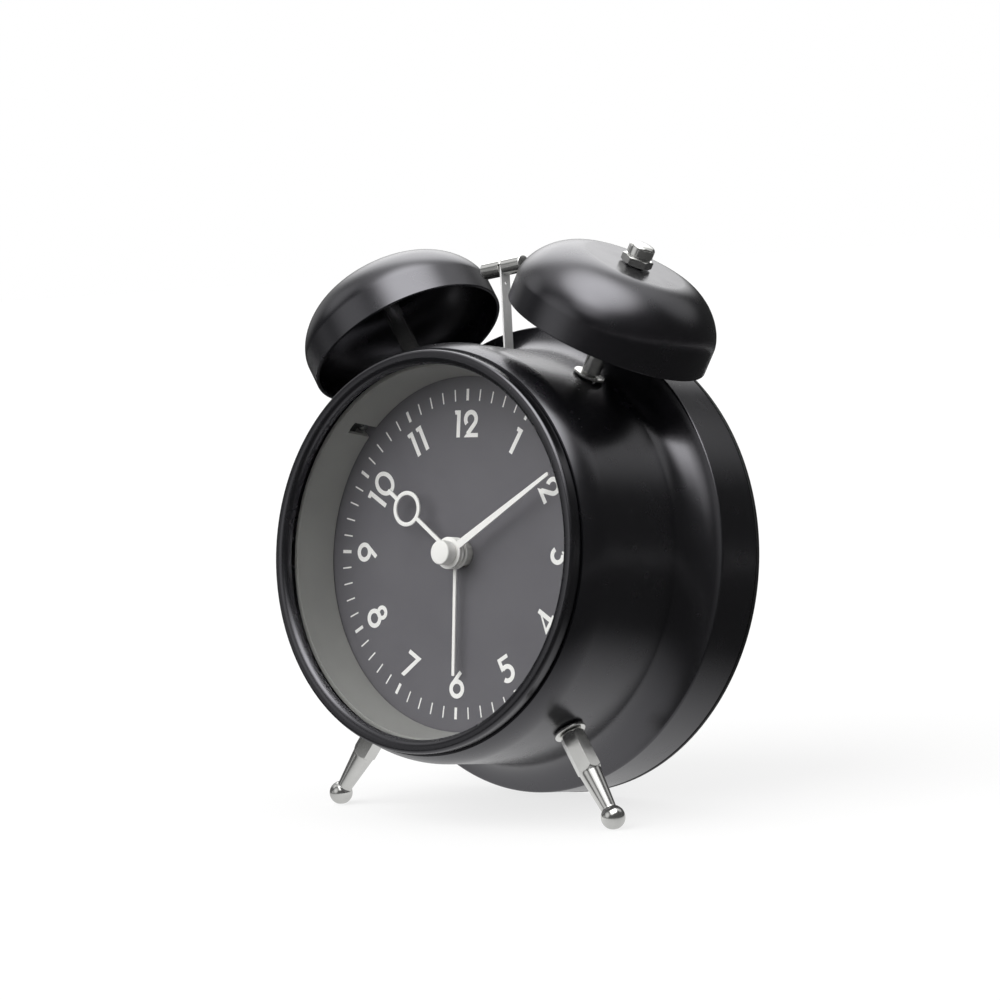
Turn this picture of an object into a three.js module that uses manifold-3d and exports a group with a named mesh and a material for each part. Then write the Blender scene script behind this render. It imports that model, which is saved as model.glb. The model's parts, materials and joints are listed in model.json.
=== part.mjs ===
// Battery twin-bell alarm clock, in millimetres.
// Everything is laid out in the dial frame: the origin is the dial's centre, X runs to the right,
// Y to the back and Z towards twelve. The whole clock is then leaned back onto its feet.
import * as THREE from "three";
import { mergeVertices } from "three/addons/utils/BufferGeometryUtils.js";
import Module from "manifold-3d";

const wasm = await Module();
wasm.setup();

const rad = THREE.MathUtils.degToRad;
const deg = THREE.MathUtils.radToDeg;

// Clearances, and how finely round pieces are drawn
const SEAT = 0.25; // between pieces that are fixed to each other
const RUN = 0.3; // between pieces that move past each other
const SHEET = 1.0; // steel of the case
const LARGE = 36;
const MIDDLE = 24;
const SMALL = 12;

// Case, given by its outer surface: the shoulder drops in from the barrel, the band steps out
const BARREL = { radius: 52.5, front: -5.5, back: 19.5 };
const SHOULDER = { drop: 2.0, y: -13.0 };
const FLARE = 9.57;
const BAND = { step: 7.5, back: 42.4, round: 0.6 };
const FRONT_RADIUS = BARREL.radius - SHOULDER.drop;
const BARREL_INSIDE = BARREL.radius - SHEET;
const BAND_RADIUS = BARREL.radius + BAND.step;
const BAND_INSIDE = BAND_RADIUS - SHEET;

// Rear cover
const COVER_EDGE = { proud: 0.1, thick: 1.2 };
const COVER_THICK = 2.5;
const SPIGOT = { depth: 2.4, wall: 1.2 };
const COVER_BACK = BAND.back + RUN + COVER_EDGE.thick;
const COVER_FRONT = COVER_BACK - COVER_THICK;
const COVER_RADIUS = BAND_RADIUS + COVER_EDGE.proud;
const COVER_BODY = BAND_INSIDE - 0.4;
const COVER_SCREWS = { inset: 5.5, angles: [0, 120, 240], shank: 1.2, head: 2.8, rise: 1.5 };
const LUG = { width: 9, thick: 1.6, reach: 8.0, back: COVER_FRONT - SPIGOT.depth - 0.6 };

// Glass, bezel, surround and dial
const BEZEL = { inset: 0.6, width: 3.5, front: -16.6, bead: 2.0, edge: 1.0, skirt: 6.4 };
const BEZEL_OUTER = FRONT_RADIUS - BEZEL.inset;
const BEZEL_INNER = BEZEL_OUTER - BEZEL.width;
const GLASS = { lap: 1.2, front: -13.6, thick: 1.5 };
const GLASS_RADIUS = BEZEL_INNER + GLASS.lap;
const DIAL = { thick: 1.0, hole: 3.6 };
const DIAL_RADIUS = BARREL_INSIDE - 2.9;
const SURROUND = { inset: 0.2, draft: 1.6, wall: 1.2 };
const WINDOW = { angle: 313.75, width: 3.5, depth: 7.5 };
const CARRIER = { room: 0.4, thick: 1.2 };
const LAMP = { radius: 1.5, flange: 1.9, long: 4.8, room: 1.1, y: -2.3 };

// Hands: where each is along Y, how long it is, and where it points clockwise from twelve
const HAND_THICK = 0.4;
const HUB = 4.0;
const ALARM_HAND = { y: -2.6, length: 30.6, width: 0.9, angle: 178.4 };
const HOUR_HAND = { y: -4.0, length: 27.5, width: 1.0, angle: 304.8, ring: 19.3, outer: 4.5, inner: 3.5 };
const MINUTE_HAND = { y: -5.2, length: 37.4, root: 2.0, tip: 0.9, angle: 58.1 };
const HAND_CAP = { radius: 3.04, thick: 2.9 };

// Motion work: trapezoid teeth, in modules, cut with backlash. The hour stage shares the minute
// stage's centre distance, and the alarm stage shares the hour stage's module.
const TOOTH = { above: 0.72, below: 1.15, tip: 0.5, root: 1.45 };
const MINUTE_STAGE = { module: 1.0, pinion: 8, wheel: 24 };
const HOUR_STAGE = { module: 16 / 15, pinion: 6, wheel: 24 };
const ALARM_STAGE = { module: HOUR_STAGE.module, pinion: 12, wheel: 24 };
const DRIVE_STAGE = { module: 1.0, pinion: 6, wheel: 24, bearing: -105 };
const ARBOR = 1.0;
const HOUR_PIPE = 2.0;
const ALARM_PIPE = 3.1;
const SETTING_SHAFT = 1.2;
const MOVEMENT = { left: -29.5, right: 31.5, half: 22.0, back: 20.0, wall: 1.5 };
const MOTOR = { left: -12, right: 5, low: -19.8, high: -9.0, front: 14.6 };

// Knobs, switch and button on the rear cover
const KNOB = { radius: 6.5, thick: 5.0, flutes: 12, cut: 0.35, hub: 3.0 };
const SWITCH = { z: 23.0, travel: 4.0, grip: 2.2, half: 1.6, rise: 1.6 };
const BUTTON = { z: 34.5, radius: 4.0, flange: 5.2, rise: 2.2, travel: 1.0 };
const BOARD = { half: 15.0, low: 15.5, high: 42.0, front: 34.0, thick: 1.2 };

// Battery box
const CELL = { radius: 7.1, length: 50.5, nub: 2.75, nubRise: 1.3, pitch: 15.0, upper: -20.5 };
const BOX = { room: 0.4, end: 2.2, wall: 1.2 };
const DOOR = { thick: 1.8, pin: 0.35, pinReach: 1.0 };

// Feet, standing out of the barrel below
const FOOT = { angle: 36.2, y: 7.3, reach: 25.2, ball: 3.0, corners: 6.6, hex: 10.9, stud: 1.5 };
const TAPER = { root: 2.9, tip: 1.9, shoulder: 0.5, length: 11.4 };
const WASHER = { radius: 4.1, thick: 0.7 };
const FOOT_NUT = { flats: 5.5, thick: 2.4 };

// Bells and their posts, standing out of the barrel above. Both lean 3 degrees to the left.
const BELL = { angle: 31.25, y: 14.3, skew: 3.0, lean: 2.1, radius: 26.3, wall: 0.9 };
const BELL_FORM = { rim: 12.0, skirt: 6.5, height: 18.8, flat: 13.0, power: 1.7 };
const POST = { radius: 2.35, thread: 1.9, stud: 1.7 };
const POST_NUT = { flats: 6.5, thick: 2.4 };
const CAP_NUT = { flats: 7.0, hex: 2.0, neck: 3.0, neckLong: 0.4, crown: 3.3, crownLong: 3.2, edge: 0.55 };
const HEX_TURN = 11.5; // how far a corner of each hexagon is turned from straight ahead

// Striker
const PIVOT = { x: 1.6, y: 14.4, z: 42.0, pin: 0.9 };
const HAMMER = { lean: 6.66, reach: 31.9, radius: 2.2, length: 13.1, edge: 0.35 };
const STRIP = { thick: 0.5, width: 3.3, root: 2.4, hole: 0.4, holeAt: 27.8 };
const LEVER = { boss: 2.6, half: 1.9, top: 6.5, cheek: 1.4, tail: 14.5, tailHalf: 1.2 };
const ARMATURE = { thick: 1.5, half: 2.7, high: -6.5, low: -14.0 };
const COIL = { z: 31.5, left: -20.0, right: -5.6, flange: 6.0, winding: 5.4, core: 2.0 };
const BRACKET = { base: 1.2, ear: 1.6, earHalf: 3.5, yoke: 1.6 };

// ---------------------------------------------------------------- shapes

// A geometry as a manifold-3d solid, for joining and cutting.
function solidOf(geometry) {
  const bare = geometry.clone();
  bare.deleteAttribute("normal");
  bare.deleteAttribute("uv");
  const merged = mergeVertices(bare, 1e-4);
  const triVerts = new Uint32Array(merged.index.array);
  const vertProperties = merged.attributes.position.array;
  return new wasm.Manifold(new wasm.Mesh({ numProp: 3, vertProperties, triVerts }));
}

function geometryOf(solid) {
  const mesh = solid.getMesh();
  const geometry = new THREE.BufferGeometry();
  geometry.setAttribute("position", new THREE.BufferAttribute(mesh.vertProperties, 3));
  geometry.setIndex(new THREE.BufferAttribute(mesh.triVerts, 1));
  return geometry;
}

function join(first, ...others) {
  return geometryOf(others.reduce((all, next) => all.add(solidOf(next)), solidOf(first)));
}

function cut(body, ...tools) {
  return geometryOf(tools.reduce((left, tool) => left.subtract(solidOf(tool)), solidOf(body)));
}

// Points on an arc, in degrees.
function arc(x, y, radius, from, to, steps) {
  return Array.from({ length: steps + 1 }, (_, i) => {
    const a = rad(from + ((to - from) * i) / steps);
    return [x + radius * Math.cos(a), y + radius * Math.sin(a)];
  });
}

// An outline of [radius, y] turned round the Y axis.
function revolve(outline, segments = SMALL) {
  const ring = outline.map(([r, y]) => new THREE.Vector2(r, y));
  if (THREE.ShapeUtils.isClockWise(ring)) ring.reverse();
  return new THREE.LatheGeometry([...ring, ring[0].clone()], segments);
}

// The same turned round the Z axis, with the outline's second number along Z.
function revolveZ(outline, segments = SMALL) {
  return revolve(outline, segments).rotateX(Math.PI / 2);
}

// The same turned round the X axis.
function revolveX(outline, segments = SMALL) {
  return revolve(outline, segments).rotateZ(-Math.PI / 2);
}

function rod(radius, from, to) {
  return [[0, from], [radius, from], [radius, to], [0, to]];
}

function tube(inner, outer, from, to) {
  return [[inner, from], [outer, from], [outer, to], [inner, to]];
}

function block(x0, x1, y0, y1, z0, z1) {
  const box = new THREE.BoxGeometry(x1 - x0, y1 - y0, z1 - z0);
  return box.translate((x0 + x1) / 2, (y0 + y1) / 2, (z0 + z1) / 2);
}

function shapeOf(points) {
  return new THREE.Shape(points.map(([x, y]) => new THREE.Vector2(x, y)));
}

// A shape drawn in the dial's plane (X right, Z up) with thickness from front to back along Y.
function plate(points, front, back) {
  const options = { depth: back - front, bevelEnabled: false };
  const geometry = new THREE.ExtrudeGeometry(shapeOf(points), options);
  return geometry.rotateX(Math.PI / 2).translate(0, back, 0);
}

function prismZ(points, from, to) {
  const options = { depth: to - from, bevelEnabled: false };
  return new THREE.ExtrudeGeometry(shapeOf(points), options).translate(0, 0, from);
}

function hexagon(flats, turn) {
  return arc(0, 0, flats / Math.sqrt(3), turn, turn + 300, 5);
}

// A hex nut about the Z axis with a clear bore.
function hexNut(flats, bore, from, to, turn) {
  const hole = revolveZ(rod(bore, from - 1, to + 1));
  return cut(prismZ(hexagon(flats, turn), from, to), hole);
}

// The outline of a toothed wheel; a tooth is centred on the given angle.
function toothedOutline(teeth, module, angle) {
  const pitch = (module * teeth) / 2;
  const root = pitch - module * TOOTH.below;
  const tip = pitch + module * TOOTH.above;
  const rootHalf = deg((module * TOOTH.root) / 2 / root);
  const tipHalf = deg((module * TOOTH.tip) / 2 / tip);
  return Array.from({ length: teeth }, (_, i) => {
    const centre = angle + (360 * i) / teeth;
    const foot = arc(0, 0, root, centre - rootHalf, centre + rootHalf, 1);
    const crest = arc(0, 0, tip, centre - tipHalf, centre + tipHalf, 1);
    return [foot[0], ...crest, foot[1]];
  }).flat();
}

function centreDistance(stage) {
  return (stage.module * (stage.pinion + stage.wheel)) / 2;
}

// The tooth angle at which a wheel meshes with one that has a tooth on the bearing towards it.
function meshAngle(teeth, bearing) {
  return bearing + 180 + 180 / teeth;
}

// ---------------------------------------------------------------- placing

const clock = new THREE.Group();
clock.name = "clock";

const black = { color: 0x151517, roughness: 0.42, metalness: 0.1 };
const chrome = { color: 0xc9ccd0, roughness: 0.12, metalness: 1.0 };
const steel = { color: 0x9a9c9e, roughness: 0.35, metalness: 1.0 };
const brass = { color: 0xb08d45, roughness: 0.3, metalness: 1.0 };
const white = { color: 0xe8e6e0, roughness: 0.4, metalness: 0.0 };
const dialGrey = { color: 0x403d40, roughness: 0.6, metalness: 0.0 };
const blackPlastic = { color: 0x1b1b1d, roughness: 0.5, metalness: 0.0 };
const greyPlastic = { color: 0x6c6e70, roughness: 0.5, metalness: 0.0 };
const surroundGrey = { color: 0x5c5b58, roughness: 0.55, metalness: 0.0 };
const greenBoard = { color: 0x24512f, roughness: 0.5, metalness: 0.0 };
const copper = { color: 0x9c4f2a, roughness: 0.35, metalness: 0.8 };
const cellSleeve = { color: 0x2c4a78, roughness: 0.35, metalness: 0.2 };
const clear = { color: 0xe6eef0, roughness: 0.05, metalness: 0.0, transparent: true, opacity: 0.2 };

function add(name, geometry, finish, parent = clock) {
  const mesh = new THREE.Mesh(geometry, new THREE.MeshStandardMaterial(finish));
  mesh.name = name;
  parent.add(mesh);
}

// A frame on the barrel's surface at an angle clockwise from twelve, with its Z along an axis that
// may be turned a little from the radius and leaned forward.
function standing(angle, y, axisAngle = angle, lean = 0) {
  const frame = new THREE.Group();
  const a = rad(angle);
  frame.position.set(BARREL.radius * Math.sin(a), y, BARREL.radius * Math.cos(a));
  frame.rotation.set(rad(lean), rad(axisAngle), 0, "YXZ");
  frame.updateMatrix();
  clock.add(frame);
  return frame;
}

// ---------------------------------------------------------------- bezel, glass and dial

const glassBack = GLASS.front + GLASS.thick;
const skirtInner = GLASS_RADIUS + RUN;
const skirtOuter = skirtInner + SHEET;
const bezelStep = GLASS.front - SEAT;
const bezelBack = SHOULDER.y - RUN;
const beadCentre = [BEZEL_INNER + BEZEL.bead, BEZEL.front + BEZEL.bead];
const edgeCentre = [BEZEL_OUTER - BEZEL.edge, BEZEL.front + BEZEL.edge];

add("bezel", revolve([
  [BEZEL_INNER, bezelStep],
  ...arc(...beadCentre, BEZEL.bead, 180, 270, 2),
  ...arc(...edgeCentre, BEZEL.edge, 270, 360, 2),
  [BEZEL_OUTER, bezelBack],
  [skirtOuter, bezelBack],
  [skirtOuter, bezelStep + BEZEL.skirt],
  [skirtInner, bezelStep + BEZEL.skirt],
  [skirtInner, bezelStep],
], LARGE), black);

add("front_glass", revolve(rod(GLASS_RADIUS, GLASS.front, glassBack), LARGE), clear);

const surroundBack = -RUN;
const surroundFront = glassBack + RUN;
const flangeFront = surroundBack - SURROUND.wall;
const wallFront = BEZEL_INNER - SURROUND.inset;
const wallRear = wallFront - SURROUND.draft;
const windowCut = block(
  -WINDOW.width / 2, WINDOW.width / 2, -WINDOW.depth, surroundBack + 1, wallRear - 4, DIAL_RADIUS + 1,
).rotateY(rad(WINDOW.angle));
add("dial_surround", cut(revolve([
  [wallRear, surroundBack],
  [wallFront, surroundFront],
  [wallFront + SURROUND.wall, surroundFront],
  [wallRear + SURROUND.wall, flangeFront],
  [DIAL_RADIUS, flangeFront],
  [DIAL_RADIUS, surroundBack],
], LARGE), windowCut), surroundGrey);

const dialHole = revolve(rod(DIAL.hole, -1, DIAL.thick + 1));
add("dial_plate", cut(revolve(rod(DIAL_RADIUS, 0, DIAL.thick), LARGE), dialHole), dialGrey);

// A clear 3 mm lamp behind the window, with its dome towards the dial
const lampFrame = new THREE.Group();
lampFrame.position.y = LAMP.y;
lampFrame.rotation.y = rad(WINDOW.angle);
clock.add(lampFrame);
const lampBase = BARREL_INSIDE - LAMP.room;
const lampTip = lampBase - LAMP.long;
add("dial_lamp", revolveZ([
  [0, lampTip],
  ...arc(0, lampTip + LAMP.radius, LAMP.radius, -60, 0, 2),
  [LAMP.radius, lampBase - 1],
  [LAMP.flange, lampBase - 1],
  [LAMP.flange, lampBase],
  [0, lampBase],
]), clear, lampFrame);

// ---------------------------------------------------------------- hands

// A frame that turns about the dial's centre and points clockwise from twelve
function pointing(angle) {
  const frame = new THREE.Group();
  frame.rotation.y = rad(angle);
  clock.add(frame);
  return frame;
}

function hub(hand, bore) {
  return revolve(tube(bore, HUB, hand.y, hand.y + HAND_THICK));
}

function blade(hand, from, to, widthFrom, widthTo) {
  const outline = [
    [-widthFrom / 2, from],
    [widthFrom / 2, from],
    [widthTo / 2, to],
    [-widthTo / 2, to],
  ];
  return plate(outline, hand.y, hand.y + HAND_THICK);
}

const inHub = HUB - 0.2;
add(
  "alarm_hand",
  join(
    hub(ALARM_HAND, ALARM_PIPE + SEAT),
    blade(ALARM_HAND, inHub, ALARM_HAND.length, ALARM_HAND.width, ALARM_HAND.width),
  ),
  white,
  pointing(ALARM_HAND.angle),
);

const ringOutline = tube(HOUR_HAND.inner, HOUR_HAND.outer, HOUR_HAND.y, HOUR_HAND.y + HAND_THICK);
const ringMiddle = (HOUR_HAND.inner + HOUR_HAND.outer) / 2;
const { width: hourWidth, ring: ringAt } = HOUR_HAND;
add(
  "hour_hand",
  join(
    hub(HOUR_HAND, HOUR_PIPE + SEAT),
    blade(HOUR_HAND, inHub, ringAt - ringMiddle, hourWidth, hourWidth),
    revolve(ringOutline, 16).translate(0, 0, ringAt),
    blade(HOUR_HAND, ringAt + ringMiddle, HOUR_HAND.length, hourWidth, hourWidth),
  ),
  white,
  pointing(HOUR_HAND.angle),
);

const minuteFrame = pointing(MINUTE_HAND.angle);
add(
  "minute_hand",
  join(
    hub(MINUTE_HAND, ARBOR + SEAT),
    blade(MINUTE_HAND, inHub, MINUTE_HAND.length, MINUTE_HAND.root, MINUTE_HAND.tip),
  ),
  white,
  minuteFrame,
);

const capBack = MINUTE_HAND.y - SEAT;
const capFront = capBack - HAND_CAP.thick;
const capBore = 1.4;
add("hand_cap", revolve([
  [0, capFront],
  [HAND_CAP.radius - 0.3, capFront],
  [HAND_CAP.radius, capFront + 0.3],
  [HAND_CAP.radius, capBack],
  [ARBOR + SEAT, capBack],
  [ARBOR + SEAT, capBack - capBore],
  [0, capBack - capBore],
]), white, minuteFrame);

// ---------------------------------------------------------------- movement

const carrierFront = DIAL.thick + SEAT;
const carrierBack = carrierFront + CARRIER.thick;
const minuteX = centreDistance(MINUTE_STAGE);
const alarmX = -centreDistance(ALARM_STAGE);
const motorX = centreDistance(DRIVE_STAGE) * Math.cos(rad(DRIVE_STAGE.bearing));
const motorZ = centreDistance(DRIVE_STAGE) * Math.sin(rad(DRIVE_STAGE.bearing));
const settingBore = SETTING_SHAFT + RUN;
const shaftEnd = COVER_BACK + 2.6;

// Where each wheel lies between the dial and the back of the movement
const ALARM_LAYER = [3.6, 5.0];
const HOUR_LAYER = [5.8, 7.2];
const PINION_LAYER = [5.5, 9.0];
const CANNON_LAYER = [8.6, 10.6];
const MINUTE_LAYER = [8.8, 10.2];
const DRIVE_LAYER = [12.2, 13.4];
const MOTOR_LAYER = [11.9, 13.7];

function toothed(teeth, module, angle, layer) {
  return plate(toothedOutline(teeth, module, angle), layer[0], layer[1]);
}

// The wheels at the centre have a tooth towards +X, and towards each pinion that they meet.
function wheelOf(stage, layer, angle = 0) {
  return toothed(stage.wheel, stage.module, angle, layer);
}

function pinionOf(stage, layer, angle = 0) {
  return toothed(stage.pinion, stage.module, angle, layer);
}

add(
  "minute_arbor",
  join(
    revolve(rod(ARBOR, capBack - capBore + SEAT, MOVEMENT.back - 0.4)),
    pinionOf(MINUTE_STAGE, CANNON_LAYER),
    wheelOf(DRIVE_STAGE, DRIVE_LAYER),
  ),
  brass,
);

// A wheel with a pipe that carries its hand and turns on the pipe or arbor inside it
function pipeWheel(stage, layer, pipe, bore, hand) {
  const front = hand.y - 0.3;
  const turned = join(revolve(rod(pipe, front, layer[1])), wheelOf(stage, layer));
  return cut(turned, revolve(rod(bore, front - 1, layer[1] + 1)));
}

add("hour_wheel", pipeWheel(HOUR_STAGE, HOUR_LAYER, HOUR_PIPE, ARBOR + RUN, HOUR_HAND), brass);
add("alarm_wheel", pipeWheel(ALARM_STAGE, ALARM_LAYER, ALARM_PIPE, HOUR_PIPE + RUN, ALARM_HAND), white);

function settingShaft() {
  return revolve(rod(SETTING_SHAFT, carrierFront + 0.3, shaftEnd));
}

add(
  "minute_wheel",
  join(
    settingShaft(),
    pinionOf(HOUR_STAGE, PINION_LAYER, meshAngle(HOUR_STAGE.pinion, 0)),
    wheelOf(MINUTE_STAGE, MINUTE_LAYER, meshAngle(MINUTE_STAGE.wheel, 0)),
  ).translate(minuteX, 0, 0),
  white,
);

add(
  "alarm_pinion",
  join(
    settingShaft(),
    pinionOf(ALARM_STAGE, ALARM_LAYER, meshAngle(ALARM_STAGE.pinion, 180)),
  ).translate(alarmX, 0, 0),
  white,
);

add(
  "motor_pinion",
  join(
    revolve(rod(ARBOR, MOTOR_LAYER[0], MOTOR.front + 2)),
    pinionOf(DRIVE_STAGE, MOTOR_LAYER, meshAngle(DRIVE_STAGE.pinion, DRIVE_STAGE.bearing)),
  ).translate(motorX, 0, motorZ),
  brass,
);

const trayFloor = MOVEMENT.back - MOVEMENT.wall;
add(
  "motor_unit",
  cut(
    block(MOTOR.left, MOTOR.right, MOTOR.front, trayFloor - SEAT, MOTOR.low, MOTOR.high),
    revolve(rod(ARBOR + RUN, MOTOR.front - 1, MOTOR.front + 2.4)).translate(motorX, 0, motorZ),
  ),
  greyPlastic,
);

// A bore along Y, as a tool for cutting
function boreY(radius, from, to, x = 0, z = 0) {
  return revolve(rod(radius, from, to)).translate(x, 0, z);
}

const trayFront = carrierBack + SEAT;
const trayHole = [trayFloor - 1, MOVEMENT.back + 1];
const { left, right, half, wall } = MOVEMENT;
add(
  "movement_housing",
  cut(
    block(left, right, trayFront, MOVEMENT.back, -half, half),
    block(left + wall, right - wall, trayFront - 1, trayFloor, -half + wall, half - wall),
    boreY(ARBOR + RUN, ...trayHole),
    boreY(settingBore, ...trayHole, minuteX),
    boreY(settingBore, ...trayHole, alarmX),
  ),
  greyPlastic,
);

const carrierHole = [carrierFront - 1, carrierBack + 1];
add(
  "dial_carrier",
  cut(
    revolve(rod(BARREL_INSIDE - CARRIER.room, carrierFront, carrierBack), LARGE),
    boreY(ALARM_PIPE + RUN, ...carrierHole),
    boreY(settingBore, ...carrierHole, minuteX),
    boreY(settingBore, ...carrierHole, alarmX),
  ),
  greyPlastic,
);

// ---------------------------------------------------------------- case

const shoulderLong = BARREL.front - SHOULDER.y;
const shoulderRound = (SHOULDER.drop ** 2 + shoulderLong ** 2) / (2 * SHOULDER.drop);
const flareAxis = BARREL.radius + FLARE;

function shoulder(inset, steps) {
  const radius = shoulderRound - inset;
  const from = -deg(Math.asin(shoulderLong / radius));
  return arc(BARREL.radius - shoulderRound, BARREL.front, radius, from, 0, steps);
}

// The flare, as far as the point where its distance from the clock's axis is the one given
function flare(inset, reach, steps) {
  const radius = FLARE + inset;
  const sweep = deg(Math.acos((flareAxis - reach) / radius));
  return arc(flareAxis, BARREL.back, radius, 180, 180 - sweep, steps);
}

// The band's front corner: a small round that meets the flare without a step
const cornerAxis = BAND_RADIUS - BAND.round;
const cornerSweep = deg(Math.acos((flareAxis - cornerAxis) / (FLARE + BAND.round)));
const cornerY = BARREL.back + (FLARE + BAND.round) * Math.sin(rad(cornerSweep));

const shellOutline = [
  ...shoulder(0, 2),
  ...arc(flareAxis, BARREL.back, FLARE, 180, 180 - cornerSweep, 5),
  ...arc(cornerAxis, cornerY, BAND.round, -cornerSweep, 0, 1).slice(1),
  [BAND_RADIUS, BAND.back],
  [BAND_INSIDE, BAND.back],
  ...flare(SHEET, BAND_INSIDE, 2).reverse(),
  ...shoulder(SHEET, 1).reverse(),
];

const sides = [-1, 1];
const bells = sides.map((side) => {
  return standing(side * BELL.angle, BELL.y, side * BELL.angle - BELL.skew, BELL.lean);
});
const feet = sides.map((side) => standing(180 - side * FOOT.angle, FOOT.y));

function through(frame, radius) {
  return revolveZ(rod(radius, -SHEET - 2, 2)).applyMatrix4(frame.matrix);
}

const lugOuter = BAND_RADIUS - SHEET / 2;
const lugInner = lugOuter - LUG.reach;
const screwCircle = BAND_RADIUS - COVER_SCREWS.inset;
const slot = { left: -3.6, right: 4.6, half: STRIP.width / 2 + 0.8 };
const lugs = COVER_SCREWS.angles.map((angle) => {
  const lug = block(-LUG.width / 2, LUG.width / 2, LUG.back - LUG.thick, LUG.back, lugInner, lugOuter);
  return lug.rotateY(rad(angle));
});
const screwHoles = COVER_SCREWS.angles.map((angle) => {
  const hole = boreY(COVER_SCREWS.shank + SEAT, LUG.back - 9, COVER_BACK + 1, 0, screwCircle);
  return hole.rotateY(rad(angle));
});
add(
  "case_shell",
  cut(
    join(revolve(shellOutline, LARGE), ...lugs),
    ...screwHoles,
    ...bells.map((frame) => through(frame, POST.stud + RUN)),
    ...feet.map((frame) => through(frame, FOOT.stud + RUN)),
    block(
      slot.left, slot.right, PIVOT.y - slot.half, PIVOT.y + slot.half,
      BARREL_INSIDE - 3, BARREL.radius + 3,
    ),
  ),
  black,
);

// ---------------------------------------------------------------- feet and bells

const washerFrom = SEAT + 0.1;
const washerTo = washerFrom + WASHER.thick;
const shaftFrom = washerTo + SEAT;
const nutTo = -SHEET - 2 * SEAT;

function washer(bore) {
  return revolveZ(tube(bore, WASHER.radius, washerFrom, washerTo));
}

function innerNut(nut, stud) {
  return hexNut(nut.flats, stud + SEAT, nutTo - nut.thick, nutTo, 0);
}

const hexTo = shaftFrom + FOOT.hex;
const ballAt = FOOT.reach;
const taperStart = hexTo + TAPER.shoulder;
const taperFall = (TAPER.root - TAPER.tip) / TAPER.length;
const ballMeets = ballAt - Math.sqrt(FOOT.ball ** 2 - TAPER.tip ** 2);
const taperMeets = TAPER.root - taperFall * (ballMeets - taperStart);
const ballFrom = -deg(Math.acos(TAPER.tip / FOOT.ball));
const footFlats = (FOOT.corners * Math.sqrt(3)) / 2;

feet.forEach((frame, i) => {
  const side = ["right", "left"][sides[i] < 0 ? 1 : 0];
  const turned = revolveZ([
    [0, nutTo - FOOT_NUT.thick - 0.3],
    [FOOT.stud, nutTo - FOOT_NUT.thick - 0.3],
    [FOOT.stud, shaftFrom + 0.5],
    [TAPER.root - 0.2, shaftFrom + 0.5],
    [TAPER.root - 0.2, hexTo - 0.3],
    [TAPER.root, hexTo - 0.3],
    [TAPER.root, taperStart],
    [taperMeets, ballMeets],
    ...arc(0, ballAt, FOOT.ball, ballFrom, 90, 6).slice(1),
  ], 14);
  const hex = prismZ(hexagon(footFlats, -90 + HEX_TURN), shaftFrom, hexTo);
  add("foot_" + side, join(turned, hex), chrome, frame);
  add("foot_washer_" + side, washer(FOOT.stud + SEAT), chrome, frame);
  add("foot_nut_" + side, innerNut(FOOT_NUT, FOOT.stud), steel, frame);
});

// Half of a bell's outline: a straight skirt, a shoulder that rounds over, and a flat top
function bellSide(inset, steps) {
  const mouth = BELL.radius - inset;
  const start = BELL_FORM.rim + BELL_FORM.skirt;
  const top = BELL_FORM.rim + BELL_FORM.height - inset;
  const power = 2 / BELL_FORM.power;
  const points = Array.from({ length: steps + 1 }, (_, i) => {
    const a = (Math.PI / 2) * (i / steps);
    const r = BELL_FORM.flat + (mouth - BELL_FORM.flat) * Math.cos(a) ** power;
    return [r, start + (top - start) * Math.sin(a) ** power];
  });
  return [[mouth, BELL_FORM.rim], ...points];
}

const bellTop = BELL_FORM.rim + BELL_FORM.height;
const bellBore = POST.thread + SEAT;
const shoulderAt = bellTop - BELL.wall - SEAT;
const capFrom = bellTop + SEAT;
const hexTop = capFrom + CAP_NUT.hex;
const neckTop = hexTop + CAP_NUT.neckLong;
const capTop = neckTop + CAP_NUT.crownLong;
const capDepth = capTop - 1.5;
const capBody = revolveZ([
  [0, capFrom + 0.3],
  [CAP_NUT.neck, capFrom + 0.3],
  [CAP_NUT.neck, neckTop],
  [CAP_NUT.crown, neckTop],
  [CAP_NUT.crown, capTop - CAP_NUT.edge],
  [CAP_NUT.crown - CAP_NUT.edge, capTop],
  [0, capTop],
], 14);
const capNut = cut(
  join(capBody, prismZ(hexagon(CAP_NUT.flats, -90 + HEX_TURN), capFrom, hexTop)),
  revolveZ(rod(POST.thread + SEAT, capFrom - 1, capDepth)),
);

bells.forEach((frame, i) => {
  const side = sides[i] < 0 ? "left" : "right";
  const outline = [
    ...bellSide(0, 5),
    [bellBore, bellTop],
    [bellBore, bellTop - BELL.wall],
    ...bellSide(BELL.wall, 4).reverse(),
  ];
  add("bell_" + side, revolveZ(outline, MIDDLE), black, frame);
  add("bell_post_" + side, revolveZ([
    [0, nutTo - POST_NUT.thick - 0.3],
    [POST.stud, nutTo - POST_NUT.thick - 0.3],
    [POST.stud, shaftFrom],
    [POST.radius, shaftFrom],
    [POST.radius, shoulderAt],
    [POST.thread, shoulderAt],
    [POST.thread, capDepth - 0.3],
    [0, capDepth - 0.3],
  ]), chrome, frame);
  add("post_washer_" + side, washer(POST.stud + SEAT), chrome, frame);
  add("post_nut_" + side, innerNut(POST_NUT, POST.stud), steel, frame);
  add("cap_nut_" + side, capNut, chrome, frame);
});

// ---------------------------------------------------------------- striker

const hammer = new THREE.Group();
hammer.position.set(PIVOT.x, PIVOT.y, PIVOT.z);
hammer.rotation.y = -rad(HAMMER.lean);
clock.add(hammer);

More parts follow.
